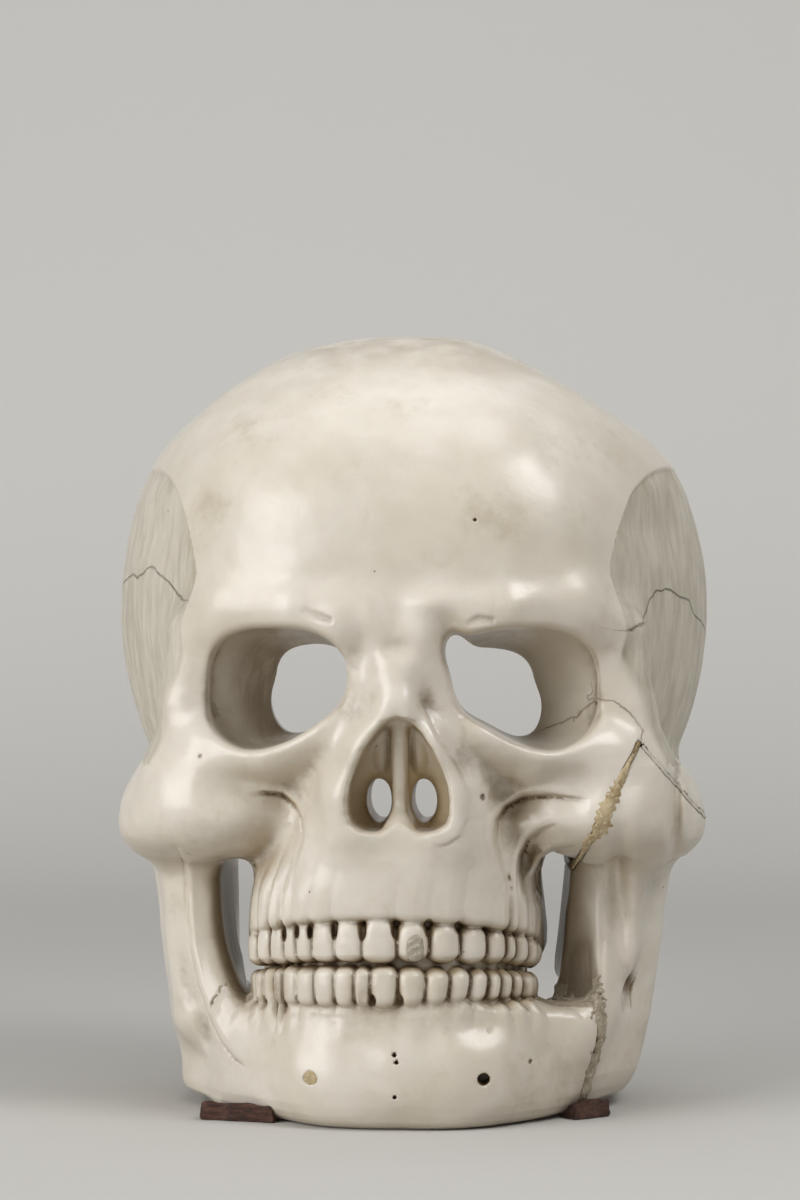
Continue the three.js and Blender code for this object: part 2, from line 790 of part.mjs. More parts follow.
// The underside rises from the chin to the back.
const chinPadShare = 0.768;
const chinPad = chinPadShare * skullDepth;
block = block.subtract(loft([-beside, beside].map((x) => [
  [x, chinPad, 0],
  [x, -overrun, undersideRise],
  [x, -overrun, -overrun],
  [x, chinPad, -overrun],
])));

// Mental holes, and the plug in the one on the left.
const mentalShares = [[-0.279, 0.064], [0.265, 0.064]];
const mentalFaceShare = 0.916;
const mentalFace = mentalFaceShare * skullDepth;

function mental([x, z], radius, shorter) {
  const [px, , pz] = at(x, 0, z);
  return pin([px, mentalFace - mentalDepth + shorter, pz], [px, skullDepth, pz], radius, 0);
}

const whole = block;
for (const shares of mentalShares) {
  block = block.subtract(mental(shares, mentalWidth / 2, 0));
}
const plug = whole.intersect(mental(mentalShares[0], mentalWidth / 2 - clearance, clearance));

// The chip in one incisor, and what fills it.
const patchTurnShare = 0.116;
const patchRiseShare = 0.4;
const [patchX, patchMiddle] = onArch(patchTurnShare);
const patchCentre = [patchX, patchMiddle + crownThickness / 2, biteLine + patchRiseShare * upperCrown];

function patchBody(smaller) {
  const outline = turns(10).map((turn) => {
    const [u, v] = rounded(turn, patchWidth / 2 - smaller, patchHeight / 2 - smaller, 2.4);
    return [patchCentre[0] + u, patchCentre[2] + v];
  });
  return bar(outline, patchCentre[1] - patchDepth + smaller, patchCentre[1] + overrun);
}

const patch = block.intersect(patchBody(clearance));
block = block.subtract(patchBody(0));

// The break. From the front it runs down the root of the arch and across the cheek to the gap;
// through the jaw it stands square to the wall.
const seam = seamShares.map(([x, z]) => [x * halfWidth, z * skullHeight]);
const [rootEnd, rootCorner, gapEnd] = seam;
const splitShare = 0.19;
const splitHeight = splitShare * skullHeight;
const through = [-overrun, skullDepth + overrun];

// A plate that follows a straight seam seen from the front.
function plate(a, b, thick, longer) {
  const run = Math.hypot(b[0] - a[0], b[1] - a[1]);
  const way = [(b[0] - a[0]) / run, (b[1] - a[1]) / run];
  const corner = (end, out, side) => [
    end[0] + way[0] * out * longer - (way[1] * side * thick) / 2,
    end[1] + way[1] * out * longer + (way[0] * side * thick) / 2,
  ];
  return bar([corner(a, -1, -1), corner(b, 1, -1), corner(b, 1, 1), corner(a, -1, 1)], ...through);
}

const upperPart = bar([[gapEnd[0], splitHeight], [rootEnd[0], splitHeight], ...seam], ...through);

// The jaw's seam, seen from above, runs inwards at half a right angle.
const jawSeamShares = [0.595, 0.658, 0];
const jawSeamPoint = at(...jawSeamShares);
const inwards = new THREE.Vector3(-1, -1, 0).normalize();
const acrossSeam = new THREE.Vector3(1, -1, 0).normalize();

function jawPlate(near, far, top) {
  const corner = (run, off, z) => new THREE.Vector3(...jawSeamPoint)
    .addScaledVector(inwards, run)
    .addScaledVector(acrossSeam, off)
    .setZ(z)
    .toArray();
  return loft([-overrun, top].map((z) => [
    corner(-skullWidth, near, z),
    corner(skullWidth / 3, near, z),
    corner(skullWidth / 3, far, z),
    corner(-skullWidth, far, z),
  ]));
}

const lowerPart = jawPlate(0, skullWidth, splitHeight);
const kerfs = [
  plate(rootEnd, rootCorner, rootSeam, cheekSeam),
  plate(rootCorner, gapEnd, cheekSeam, cheekSeam),
  jawPlate(-jawSeam / 2, jawSeam / 2, splitHeight + clearance),
];

// Pins across the seams: one in the cheek, one at the root of the arch, two in the jaw.
const pinEnds = (middle, way) => [-1, 1].map((side) => new THREE.Vector3(...middle)
  .addScaledVector(way, (side * pinLength) / 2)
  .toArray());
const cheekRun = new THREE.Vector3(gapEnd[0] - rootCorner[0], 0, gapEnd[1] - rootCorner[1]).normalize();
const acrossCheek = new THREE.Vector3(-cheekRun.z, 0, cheekRun.x);
const upwards = new THREE.Vector3(0, 0, 1);
const cheekPinShares = [0.676, 0.553, 0.4125];
const rootPinShares = [0.84, 0.263, 0.455];
const jawPinInsetShare = 0.099;
const jawPinHeightShares = [0.1075, 0.05];
const [upperJawPin, lowerJawPin] = jawPinHeightShares.map((share) => (
  new THREE.Vector3(...jawSeamPoint)
    .addScaledVector(inwards, jawPinInsetShare * halfWidth)
    .setZ(share * skullHeight)
));
const pinPlaces = {
  cheek_pin: pinEnds(at(...cheekPinShares), acrossCheek),
  arch_root_pin: pinEnds(at(...rootPinShares), upwards),
  jaw_pin_upper: pinEnds(upperJawPin, acrossSeam),
  jaw_pin_lower: pinEnds(lowerJawPin, acrossSeam),
};
const pins = Object.entries(pinPlaces).map(([name, ends]) => [name, pin(...ends, pinWidth / 2, 0)]);
const bores = Object.values(pinPlaces).map((ends) => pin(...ends, pinWidth / 2 + clearance, clearance));

const drilled = bores.reduce((stoneLeft, bore) => stoneLeft.subtract(bore), block);
const cutOut = kerfs.reduce((sum, kerf) => sum.add(kerf), upperPart.add(lowerPart));
const skullBlock = drilled.subtract(cutOut);
const brokenOff = drilled.intersect(upperPart.add(lowerPart));
const fragment = kerfs.reduce((left, kerf) => left.subtract(kerf), brokenOff);
const cheekMortar = drilled.intersect(
  plate(rootCorner, gapEnd, cheekSeam - 2 * clearance, cheekSeam / 2 - clearance),
);
const rootMortar = drilled.intersect(
  plate(rootEnd, rootCorner, rootSeam - 2 * clearance, 0),
).subtract(kerfs[1]);
const jawMortar = drilled.intersect(
  jawPlate(clearance - jawSeam / 2, jawSeam / 2 - clearance, splitHeight),
);

// Wedges: thick outside, thin under the jaw, and cut to the stone above them.
const leftWedgeShares = [-0.5, 0.679];
const rightWedgeShares = [0.535, 0.597];

function wedge([xShare, fShare], degrees, long) {
  const turn = THREE.MathUtils.degToRad(degrees);
  const out = [Math.sin(turn), Math.cos(turn)];
  const [x, f] = at(xShare, fShare, 0);
  const corner = (along, off, z) => [
    x + out[1] * along + out[0] * off,
    f - out[0] * along + out[1] * off,
    z,
  ];
  const raised = loft([-long / 2, long / 2].map((along) => [
    corner(along, -wedgeDepth / 2, clearance),
    corner(along, wedgeDepth / 2, clearance),
    corner(along, wedgeDepth / 2, wedgeThick),
    corner(along, -wedgeDepth / 2, wedgeThin + clearance),
  ]));
  return raised.subtract(block).translate([0, 0, -clearance]);
}

// The group.
function mesh(name, body, color, roughness, metalness = 0) {
  const { vertProperties, triVerts } = body.getMesh();
  const geometry = new THREE.BufferGeometry();
  geometry.setAttribute('position', new THREE.BufferAttribute(vertProperties, 3));
  geometry.setIndex(new THREE.BufferAttribute(triVerts, 1));
  geometry.computeVertexNormals();
  const material = new THREE.MeshStandardMaterial({ color, roughness, metalness });
  const node = new THREE.Mesh(geometry, material);
  node.name = name;
  return node;
}

const marble = 0xd9d1c0;
const mortar = 0xb7a47f;
const steel = 0x6f6a63;
const oldWood = 0x5d3a2b;

const skull = new THREE.Group();
skull.add(mesh('skull_block', skullBlock, marble, 0.35));
skull.add(mesh('arch_ramus_fragment', fragment, marble, 0.35));
skull.add(mesh('cheek_seam_mortar', cheekMortar, mortar, 0.85));
skull.add(mesh('arch_root_mortar', rootMortar, mortar, 0.85));
skull.add(mesh('jaw_seam_mortar', jawMortar, mortar, 0.85));
for (const [name, body] of pins) {
  skull.add(mesh(name, body, steel, 0.6, 0.8));
}
skull.add(mesh('mental_hole_plug', plug, mortar, 0.85));
skull.add(mesh('incisor_patch', patch, mortar, 0.8));
skull.add(mesh('support_wedge_left', wedge(leftWedgeShares, -14, leftWedgeLength), oldWood, 0.9));
skull.add(mesh('support_wedge_right', wedge(rightWedgeShares, 38, rightWedgeLength), oldWood, 0.9));

// The origin is the middle of the whole, on the surface that it stands on.
const reach = new THREE.Box3().setFromObject(skull);
const middle = reach.getCenter(new THREE.Vector3());
skull.position.set(-middle.x, -middle.y, -reach.min.z);

export default skull;
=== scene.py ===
import math
from concurrent.futures import ThreadPoolExecutor

import bpy
import numpy as np
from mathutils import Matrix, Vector


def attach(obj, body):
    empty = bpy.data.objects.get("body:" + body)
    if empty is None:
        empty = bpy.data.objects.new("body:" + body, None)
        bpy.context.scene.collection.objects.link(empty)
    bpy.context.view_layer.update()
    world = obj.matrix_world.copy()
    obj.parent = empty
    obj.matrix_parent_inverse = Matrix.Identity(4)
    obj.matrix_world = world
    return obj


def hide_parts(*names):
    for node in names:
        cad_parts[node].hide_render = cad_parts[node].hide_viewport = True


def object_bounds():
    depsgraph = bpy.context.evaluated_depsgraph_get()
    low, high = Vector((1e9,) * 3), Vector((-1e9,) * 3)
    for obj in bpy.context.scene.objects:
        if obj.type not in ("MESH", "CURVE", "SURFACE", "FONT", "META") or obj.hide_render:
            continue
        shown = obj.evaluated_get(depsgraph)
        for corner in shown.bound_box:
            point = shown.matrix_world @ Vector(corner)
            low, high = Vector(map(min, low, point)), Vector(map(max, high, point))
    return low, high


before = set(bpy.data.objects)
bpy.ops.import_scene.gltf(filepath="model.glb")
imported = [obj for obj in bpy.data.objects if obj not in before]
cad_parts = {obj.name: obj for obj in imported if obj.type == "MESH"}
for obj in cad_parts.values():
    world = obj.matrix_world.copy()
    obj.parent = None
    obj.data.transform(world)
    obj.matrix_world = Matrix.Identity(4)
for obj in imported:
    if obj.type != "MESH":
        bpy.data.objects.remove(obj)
cad_low, cad_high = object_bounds()


# Camera
# The photograph is taken with a long lens from about 1.7 m, a little below the middle of the
# skull and slightly to its right, so the near cheek and the far ramus both show.
def aim_camera():
    turn = math.radians(3)
    distance, aside, height = 1.710, 0.0036, 0.260
    right = Vector((math.cos(turn), math.sin(turn), 0))
    away = Vector((math.sin(turn), -math.cos(turn), 0))
    lens = bpy.data.cameras.new("photo_lens")
    lens.sensor_fit = "VERTICAL"
    lens.sensor_height = 36
    lens.lens = 100
    lens.clip_end = 20
    camera = bpy.data.objects.new("photo_camera", lens)
    camera.location = away * distance - right * aside + Vector((0, 0, height))
    camera.rotation_euler = (math.pi / 2, 0, turn)
    bpy.context.scene.collection.objects.link(camera)
    bpy.context.scene.camera = camera


aim_camera()


# Form of the carving: mass
# The skull is one marble block, roughed out as eggs, rolls and bowed walls that run into each
# other. Each is a distance to its surface, less than nothing inside the stone, and a point is
# given as its place to the right, forward of the flat back, and up.
back_y = cad_high.y
skull_width = 0.312
skull_depth = 0.190
skull_height = 0.400
half_width = skull_width / 2

crisp_blend = 0.004
firm_blend = 0.009
soft_blend = 0.015
broad_blend = 0.022


def at(x, f, z):
    """A place from its shares of the half width, the depth and the height."""
    return x * half_width, f * skull_depth, z * skull_height


def bead(x, f, z, radius):
    return (*at(x, f, z), radius * half_width)


def blend(a, b, reach):
    """Two forms as one, run into each other over a reach."""
    share = np.clip(0.5 + 0.5 * (b - a) / reach, 0, 1)
    return b + (a - b) * share - reach * share * (1 - share)


def trim(a, b, reach):
    """What two forms share, with the edge between them eased over a reach."""
    return -blend(-a, -b, reach)


def rise(low, high, value):
    """0 up to the low value, 1 from the high one, and smooth between them."""
    share = np.clip((value - low) / (high - low), 0, 1)
    return share * share * (3 - 2 * share)


def by_height(z, rows, column):
    heights = [row[0] * skull_height for row in rows]
    return np.interp(z, heights, [row[column] for row in rows]).astype(np.float32)


def egg(p, centre, radii):
    shares = [(value - c) / r for value, c, r in zip(p, centre, radii)]
    near = np.sqrt(sum(share**2 for share in shares))
    steep = np.sqrt(sum((share / r) ** 2 for share, r in zip(shares, radii))) + 1e-6
    return near * (near - 1) / steep


def limb(p, beads, reach=0.0):
    """A roll of stone through a row of beads, each with its own radius."""
    nearest = None
    for a, b in zip(beads[:-1], beads[1:]):
        run = [end - start for start, end in zip(a[:3], b[:3])]
        long = sum(step**2 for step in run)
        share = sum((value - start) * step for value, start, step in zip(p, a, run)) / long
        share = np.clip(share, 0, 1)
        off = np.sqrt(sum((value - start - share * step) ** 2 for value, start, step in zip(p, a, run)))
        gap = off - a[3] - (b[3] - a[3]) * share
        if nearest is None:
            nearest = gap
        else:
            nearest = blend(nearest, gap, reach) if reach else np.minimum(nearest, gap)
    return nearest


def bow_plan(x, f, wide, front, back, power):
    """A wall bowed forward in plan, like the jaws, with everything behind it inside."""
    across = np.abs(x) / wide
    forward = np.maximum(f - back, 0) / (front - back)
    return ((across**power + forward**power) ** (1 / power) - 1) * wide


def bow(p, rows, back_share, power):
    x, f, z = p
    wide = by_height(z, rows, 1) * half_width
    front = by_height(z, rows, 2) * skull_depth
    return bow_plan(x, f, wide, front, back_share * skull_depth, power)


def waves(p, length, seed):
    """Low irregular waves, as a hand with chisels and rubbing stones leaves them."""
    draw = np.random.default_rng(seed)
    total = 0
    for _ in range(5):
        way = draw.normal(size=3)
        way *= 2 * np.pi / length / np.linalg.norm(way) * draw.uniform(0.75, 1.3)
        total = total + np.sin(sum(value * step for value, step in zip(p, way)) + draw.uniform(0, 6.28))
    return total / 5


dome_centre = at(0, 0.174, 0.6375)
dome_radii = at(1, 0.753, 0.3625)
dome_stretch_share = 0.863
dome_power = 2.2
right_slope_share = (0.244, 0.994, 0.788, 0.868)
left_slope_share = (0.410, 0.996, 0.837, 0.8705)
forehead_centre = at(0.218, 0.484, 0.73)
forehead_radii = at(0.487, 0.384, 0.17)
brow = [bead(*row) for row in (
    (0.035, 0.886, 0.582, 0.052),
    (0.1, 0.886, 0.604, 0.056),
    (0.19, 0.886, 0.626, 0.058),
    (0.33, 0.86, 0.641, 0.062),
    (0.538, 0.76, 0.64, 0.062),
)]
pillar = [bead(*row) for row in (
    (0.538, 0.76, 0.64, 0.062),
    (0.686, 0.663, 0.6075, 0.077),
    (0.705, 0.653, 0.5125, 0.096),
    (0.705, 0.642, 0.45, 0.141),
)]
cheek_centre = at(0.59, 0.632, 0.395)
cheek_radii = at(0.301, 0.2, 0.0775)
arch = [bead(*row) for row in ((0.763, 0.505, 0.385, 0.179), (0.763, 0.326, 0.38, 0.173))]
arch_root = [bead(*row) for row in ((0.788, 0.232, 0.3775, 0.167), (0.763, 0, 0.38, 0.167))]
orbit_rim = [bead(*row) for row in (
    (0.256, 0.853, 0.49, 0.077),
    (0.423, 0.811, 0.4575, 0.077),
    (0.615, 0.726, 0.4625, 0.09),
)]
nose_bridge = [bead(*row) for row in (
    (0, 0.885, 0.585, 0.03),
    (0, 0.908, 0.56, 0.036),
    (0.008, 0.95, 0.52, 0.04),
    (0.08, 0.92, 0.462, 0.07),
    (0.142, 0.888, 0.41, 0.08),
    (0.15, 0.878, 0.375, 0.08),
)]
ramus_front = [bead(*row) for row in (
    (0.667, 0.547, 0.35, 0.077),
    (0.667, 0.542, 0.275, 0.077),
    (0.647, 0.553, 0.21, 0.083),
    (0.583, 0.595, 0.145, 0.096),
    (0.526, 0.642, 0.11, 0.096),
)]
ramus_middle = [bead(*row) for row in (
    (0.731, 0.411, 0.35, 0.09),
    (0.712, 0.411, 0.23, 0.103),
    (0.667, 0.4, 0.115, 0.103),
    (0.635, 0.4, 0.05, 0.103),
)]
ramus_back = [bead(*row) for row in (
    (0.737, 0.274, 0.35, 0.09),
    (0.705, 0.274, 0.23, 0.096),
    (0.66, 0.263, 0.115, 0.096),
    (0.628, 0.263, 0.045, 0.103),
)]
ramus_inner = [bead(*row) for row in (
    (0.583, 0.5, 0.355, 0.086),
    (0.583, 0.5, 0.21, 0.086),
    (0.575, 0.5, 0.12, 0.086),
)]
chin_centre = at(0.103, 0.821, 0.06)
chin_radii = at(0.231, 0.095, 0.065)
upper_jaw_shares = (
    (0.21, 0.492, 0.93),
    (0.26, 0.49, 0.938),
    (0.3, 0.48, 0.944),
    (0.33, 0.462, 0.947),
    (0.375, 0.428, 0.942),
    (0.42, 0.372, 0.932),
    (0.475, 0.295, 0.911),
    (0.5375, 0.244, 0.884),
    (0.5875, 0.192, 0.842),
)
lower_jaw_shares = (
    (0, 0.652, 0.854),
    (0.004, 0.676, 0.872),
    (0.01, 0.695, 0.886),
    (0.018, 0.709, 0.895),
    (0.03, 0.718, 0.903),
    (0.05, 0.723, 0.909),
    (0.075, 0.724, 0.911),
    (0.125, 0.705, 0.905),
    (0.15, 0.667, 0.911),
    (0.165, 0.628, 0.921),
)
upper_jaw_back_share = 0.474
lower_jaw_back_share = 0.232
gum_share = 0.1575
jaw_back_share = 0.316
arch_offset = -0.0385 * half_width
bite_line = 0.204 * skull_height
upper_crown = 0.021
lower_crown = 0.02
crown_thickness = 0.015
bite_droop = 0.0125
upper_gum_droop = 0.022
lower_gum_droop = 0.0055
arch_centre = 0.516 * skull_depth
arch_wide = 0.4615 * half_width
arch_deep = 0.387 * skull_depth


def above_line(wide, z, line):
    """How far a point is above a sloping line, given as its two ends."""
    ax, az, bx, bz = line
    run = np.array([(bx - ax) * half_width, (bz - az) * skull_height])
    run /= np.hypot(*run)
    return (z - az * skull_height) * run[0] - (wide - ax * half_width) * run[1]


temple_centre = at(0, 0.263, 0.625)
temple_radii = at(0, 0.484, 0.2)
temple_low_share = 0.54
temple_step = 0.008


def temple(p):
    """Share of the way out to the temporal line, which is at 1."""
    x, f, z = p
    level = np.maximum(z, temple_low_share * skull_height)
    forward = np.abs(f - temple_centre[1]) / temple_radii[1]
    upward = np.abs(level - temple_centre[2]) / temple_radii[2]
    return (forward**2.6 + upward**2.6) ** (1 / 2.6)


def cranium(p):
    x, f, z = p
    wide = np.sqrt(x**2 + 0.01**2)
    low = np.minimum(z - dome_centre[2], 0) * dome_stretch_share
    level = dome_centre[2] + low + np.maximum(z - dome_centre[2], 0)
    slope = np.where(x > 0, above_line(wide, z, right_slope_share), above_line(wide, z, left_slope_share))
    power = np.where(z > dome_centre[2], dome_power, 2).astype(np.float32)
    upward = np.abs(level - dome_centre[2]) / dome_radii[2]
    outward = ((wide / dome_radii[0]) ** power + upward**power) ** (1 / power)
    turned = (outward * dome_radii[0], f, 0 * z)
    dome = trim(egg(turned, (0, dome_centre[1], 0), (dome_radii[0], dome_radii[1], 1)), slope, firm_blend)
    full = blend(dome, egg((wide, f, z), forehead_centre, forehead_radii), broad_blend)
    edge = (1 - rise(0.955, 1.0, temple(p))) * (1 - 0.75 * rise(0.73, 0.8, z / skull_height))
    fade = rise(0.15, 0.5, f / skull_depth)
    return trim(full + temple_step * edge * fade, 0.4 * skull_height - z, soft_blend)


def leaning(p):
    x, f, z = p
    fade = 1 - rise(0.275, 0.375, z / skull_height)
    return x - arch_offset * fade, f, z


def along_arch(x, f):
    """Where a point is along the bow of the teeth: 0 in the middle, 1 a quarter turn on."""
    return np.arctan2((x - arch_offset) / arch_wide, (f - arch_centre) / arch_deep) / (np.pi / 2)


def upper_jaw(p):
    x, f, z = p
    jaw = bow(p, upper_jaw_shares, upper_jaw_back_share, 2.4)
    droop = upper_gum_droop * np.minimum(along_arch(x + arch_offset, f) ** 2, 1.2)
    gum = bite_line + upper_crown - droop - z
    tall = trim(trim(jaw, z - 0.6 * skull_height, firm_blend), gum, 0.0055)
    return trim(tall, jaw_back_share * skull_depth - f, firm_blend)


def lower_jaw(p):
    x, f, z = p
    droop = lower_gum_droop * np.minimum(along_arch(x, f) ** 2, 1.2)
    gum = z + droop - bite_line + lower_crown - 0.001
    body = trim(bow(p, lower_jaw_shares, lower_jaw_back_share, 2.15), gum, 0.007)
    chinned = blend(body, egg(p, chin_centre, chin_radii), broad_blend)
    level = (x, np.maximum(f, ramus_back[0][1]), z)
    rear = blend(limb(p, ramus_middle), limb(level, ramus_back), soft_blend)
    ramus = blend(limb(p, ramus_front), rear, soft_blend)
    return blend(chinned, ramus, soft_blend)


def inner_ramus(p, right):
    """The right ramus is thick on its inner side, the left one less, and both more further back."""
    x, f, z = p
    behind = np.maximum(ramus_inner[0][1] - f, 0)
    inward = np.where(right, np.minimum(0.14 * behind, 0.006), np.minimum(0.08 * behind, 0.0075) - 0.0155)
    return limb((x + inward, np.maximum(f, ramus_inner[0][1]), z), ramus_inner)


def tooth_core(p):
    x, f, z = p
    tall = np.maximum(z - bite_line - upper_crown, bite_line - lower_crown - z)
    plan = bow(p, ((0.13, 0.428, 0.885), (0.25, 0.428, 0.885)), upper_jaw_back_share, 2.3)
    return np.maximum(plan, np.maximum(tall, jaw_back_share * skull_depth - f))


# How much further out the arch and jaw stand on the left and on the right, by height.
side_shares = (
    (0, 0.03, -0.03), (0.02, 0.02, -0.01), (0.05, 0.005, 0.012), (0.12, 0.004, 0.03),
    (0.25, 0.01, 0.03), (0.325, 0.03, 0.055), (0.35, 0.02, 0.05), (0.385, -0.006, 0.025),
    (0.42, -0.02, 0.012), (0.46, -0.018, 0.016), (0.52, 0, 0.01),
)


def sided(p):
    x, f, z = p
    wide = np.sqrt(x**2 + 0.003**2)
    further = np.where(x > 0, by_height(z, side_shares, 2), by_height(z, side_shares, 1)) * half_width
    return wide - further * rise(0.35, 0.6, wide / half_width), f, z


def mass(p):
    x, f, z = p
    q = sided(p)
    body = blend(cranium(p), limb(q, brow, crisp_blend), broad_blend)
    body = blend(body, limb(q, pillar, crisp_blend), soft_blend)
    cheek = blend(egg(q, cheek_centre, cheek_radii), limb(q, arch), broad_blend)
    body = blend(body, blend(cheek, limb(q, arch_root), crisp_blend), soft_blend)
    body = blend(body, limb(q, orbit_rim, crisp_blend), soft_blend)
    body = blend(body, upper_jaw(leaning(p)), soft_blend)
    body = blend(body, limb(q, nose_bridge, firm_blend), soft_blend)
    body = np.minimum(body, tooth_core(leaning(p)))
    body = blend(body, lower_jaw(q), firm_blend)
    return blend(body, inner_ramus(q, x > 0), soft_blend)


# Form of the carving: teeth
# Both rows of teeth are carved in the block, one crown beside the next on a bow. The left
# ones are parted by shallow cuts only, the right ones are rounder and stand further apart.
upper_edge_shares = (
    -0.758, -0.649, -0.553, -0.464, -0.397, -0.322, -0.218, -0.101, 0.039,
    0.177, 0.312, 0.444, 0.546, 0.603, 0.702, 0.79, 0.865,
)
lower_edge_shares = (
    -0.8, -0.718, -0.659, -0.606, -0.519, -0.476, -0.397, -0.308, -0.218, -0.129, -0.068, 0.043,
    0.162, 0.27, 0.368, 0.457, 0.522, 0.596, 0.661, 0.76, 0.844,
)
crown_rows = (
    (upper_edge_shares, bite_line + upper_crown + 0.0015, bite_line + 0.0003, upper_gum_droop),
    (lower_edge_shares, bite_line - lower_crown - 0.0015, bite_line - 0.0003, lower_gum_droop),
)
crown_profile_shares = (
    (-0.15, 0.62, 0.76), (0, 0.7, 0.83), (0.12, 0.8, 0.9), (0.28, 0.94, 0.97),
    (0.55, 1, 1), (0.8, 0.98, 0.95), (1, 0.82, 0.74),
)


def on_arch(turn_share):
    turn = turn_share * np.pi / 2
    return arch_offset + arch_wide * np.sin(turn), arch_centre + arch_deep * np.cos(turn)


def crown(p, start, end, root, tip, gum_droop, forward):
    x, f, z = p
    (ax, af), (bx, bf) = on_arch(start), on_arch(end)
    middle = (start + end) / 2
    mx, mf = on_arch(middle)
    wide = np.hypot(bx - ax, bf - af)
    along = ((bx - ax) / wide, (bf - af) / wide)
    root, tip = root - gum_droop * middle**2, tip - bite_droop * middle**2
    share = (z - root) / (tip - root)
    rounder = rise(-0.05, 0.15, middle)
    lean = 0.0028 * rise(0.12, 0.3, middle) if tip > root else 0
    u = (x - mx) * along[0] + (f - mf) * along[1] + lean * (1 - share)
    v = (f - mf) * along[0] - (x - mx) * along[1]
    levels, waists, bulges = zip(*crown_profile_shares)
    waist = np.interp(share, levels, waists).astype(np.float32)
    waist = waist + (1 - waist) * 0.55 * (1 - rounder) * rise(0.1, 0.3, np.abs(middle))
    bulge = np.interp(share, levels, bulges).astype(np.float32)
    half = (wide / 2 + 0.0009 - 0.0004 * rounder) * waist
    deep = crown_thickness / 2 * bulge + forward
    power = 2.9 - 0.7 * rounder
    near = ((np.abs(u) / half) ** power + (np.abs(v) / deep) ** power) ** (1 / power)
    ends = np.abs(share - 0.5) * abs(tip - root) - abs(tip - root) / 2
    return trim((near - 1) * np.minimum(half, deep), ends, 0.0045 + 0.0025 * rounder)


def crowns(p):
    x, f, z = p
    nearest = np.full(x.shape, 0.03, np.float32)
    low, high = bite_line - lower_crown - 0.02, bite_line + upper_crown + 0.01
    here = (z > low) & (z < high) & (f > 0.07) & (np.abs(x) < 0.1)
    if not here.any():
        return nearest
    q = (x[here], f[here], z[here])
    best = nearest[here]
    draw = np.random.default_rng(8)
    for edges, root, tip, gum_droop in crown_rows:
        for start, end in zip(edges[:-1], edges[1:]):
            longer, forward = draw.uniform(-0.0008, 0.0003), draw.uniform(-0.0008, 0.0008)
            outwards = 1 if tip > root else -1
            one = crown(q, start, end, root, tip + longer * outwards, gum_droop, forward)
            best = blend(best, one, 0.0008)
    nearest[here] = best
    return nearest


def roots(p):
    """How far the ridges over the roots stand proud of the jaw."""
    x, f, z = leaning(p)
    turn = along_arch(x + arch_offset, f)
    proud = 0
    for edges, foot, head, step in (
        (upper_edge_shares, bite_line + upper_crown - 0.002, 0.36 * skull_height, 0.0010),
        (lower_edge_shares, bite_line - lower_crown + 0.001, 0.1 * skull_height, 0.0008),
    ):
        places, levels = [], []
        for start, end in zip(edges[:-1], edges[1:]):
            places += [start, (start * 3 + end) / 4, (start + end) / 2, (start + end * 3) / 4]
            levels += [-0.9, 0.2, 0.8, 0.2]
        ridge = np.interp(turn, places, levels, left=0, right=0).astype(np.float32)
        uneven = 1 + 0.5 * np.sin(turn * 23 + 1) + 0.3 * np.sin(turn * 9.3)
        sides = (0.35 + 1.0 * rise(0.25, 0.55, np.abs(turn))) * uneven
        fade = (1 - rise(0, 1, (z - foot) / (head - foot))) * rise(-0.3, 0.05, (z - foot) / (head - foot))
        proud = proud + step * ridge * fade * sides
    return proud * rise(0.06, 0.09, f)


# Form of the carving: openings
# The back is hollowed out, each eye socket narrows to a round hole into that hollow, two
# nostrils reach it beside a blade of stone, and the jaw stands free of the teeth at each side.
dome_wall = 0.028
forehead_wall = 0.046
face_wall = 0.070
nose_wall = 0.084
jaw_wall = 0.027
mouth_wall = 0.032
orbit_width = 0.071
orbit_height = 0.061
bore_width = 0.045
bore_height = 0.044
bore_level = 0.523 * skull_height
nose_width = 0.050
nose_height = 0.0575
nose_recess = 0.026
nose_bottom = 0.3655 * skull_height
nose_outline_shares = (
    (0.5, -0.02), (0.78, 0.02), (0.91, 0.07), (0.98, 0.15), (1, 0.27), (0.96, 0.4),
    (0.84, 0.55), (0.68, 0.71), (0.44, 0.85), (0.2, 0.955), (0.02, 1),
)
blade_width = 0.0078
nostril_width = 0.0128
nostril_height = 0.0215
left_gap_shares = (
    (0.145, 0.503, 0.511), (0.165, 0.505, 0.54), (0.2, 0.522, 0.577), (0.22, 0.527, 0.59),
    (0.25, 0.522, 0.6), (0.295, 0.503, 0.602), (0.3175, 0.52, 0.58),
)
right_gap_shares = (
    (0.145, 0.445, 0.6), (0.165, 0.448, 0.607), (0.185, 0.45, 0.602), (0.205, 0.47, 0.59),
    (0.225, 0.472, 0.578), (0.25, 0.466, 0.57), (0.3, 0.452, 0.57), (0.3175, 0.47, 0.55),
)
ramus_inner_shares = ((0.16, 0.462), (0.2, 0.48), (0.25, 0.498), (0.32, 0.512))
# The left gap narrows towards the back at this rate, and by no more than this much.
gap_narrowing = 0.14
gap_narrowing_most = 0.009
ramus_edge_shares = (
    (0, 0.326), (0.025, 0.232), (0.065, 0.189), (0.15, 0.179), (0.25, 0.2), (0.315, 0.189),
)
chin_pad_share = 0.768
underside_rise = 0.014


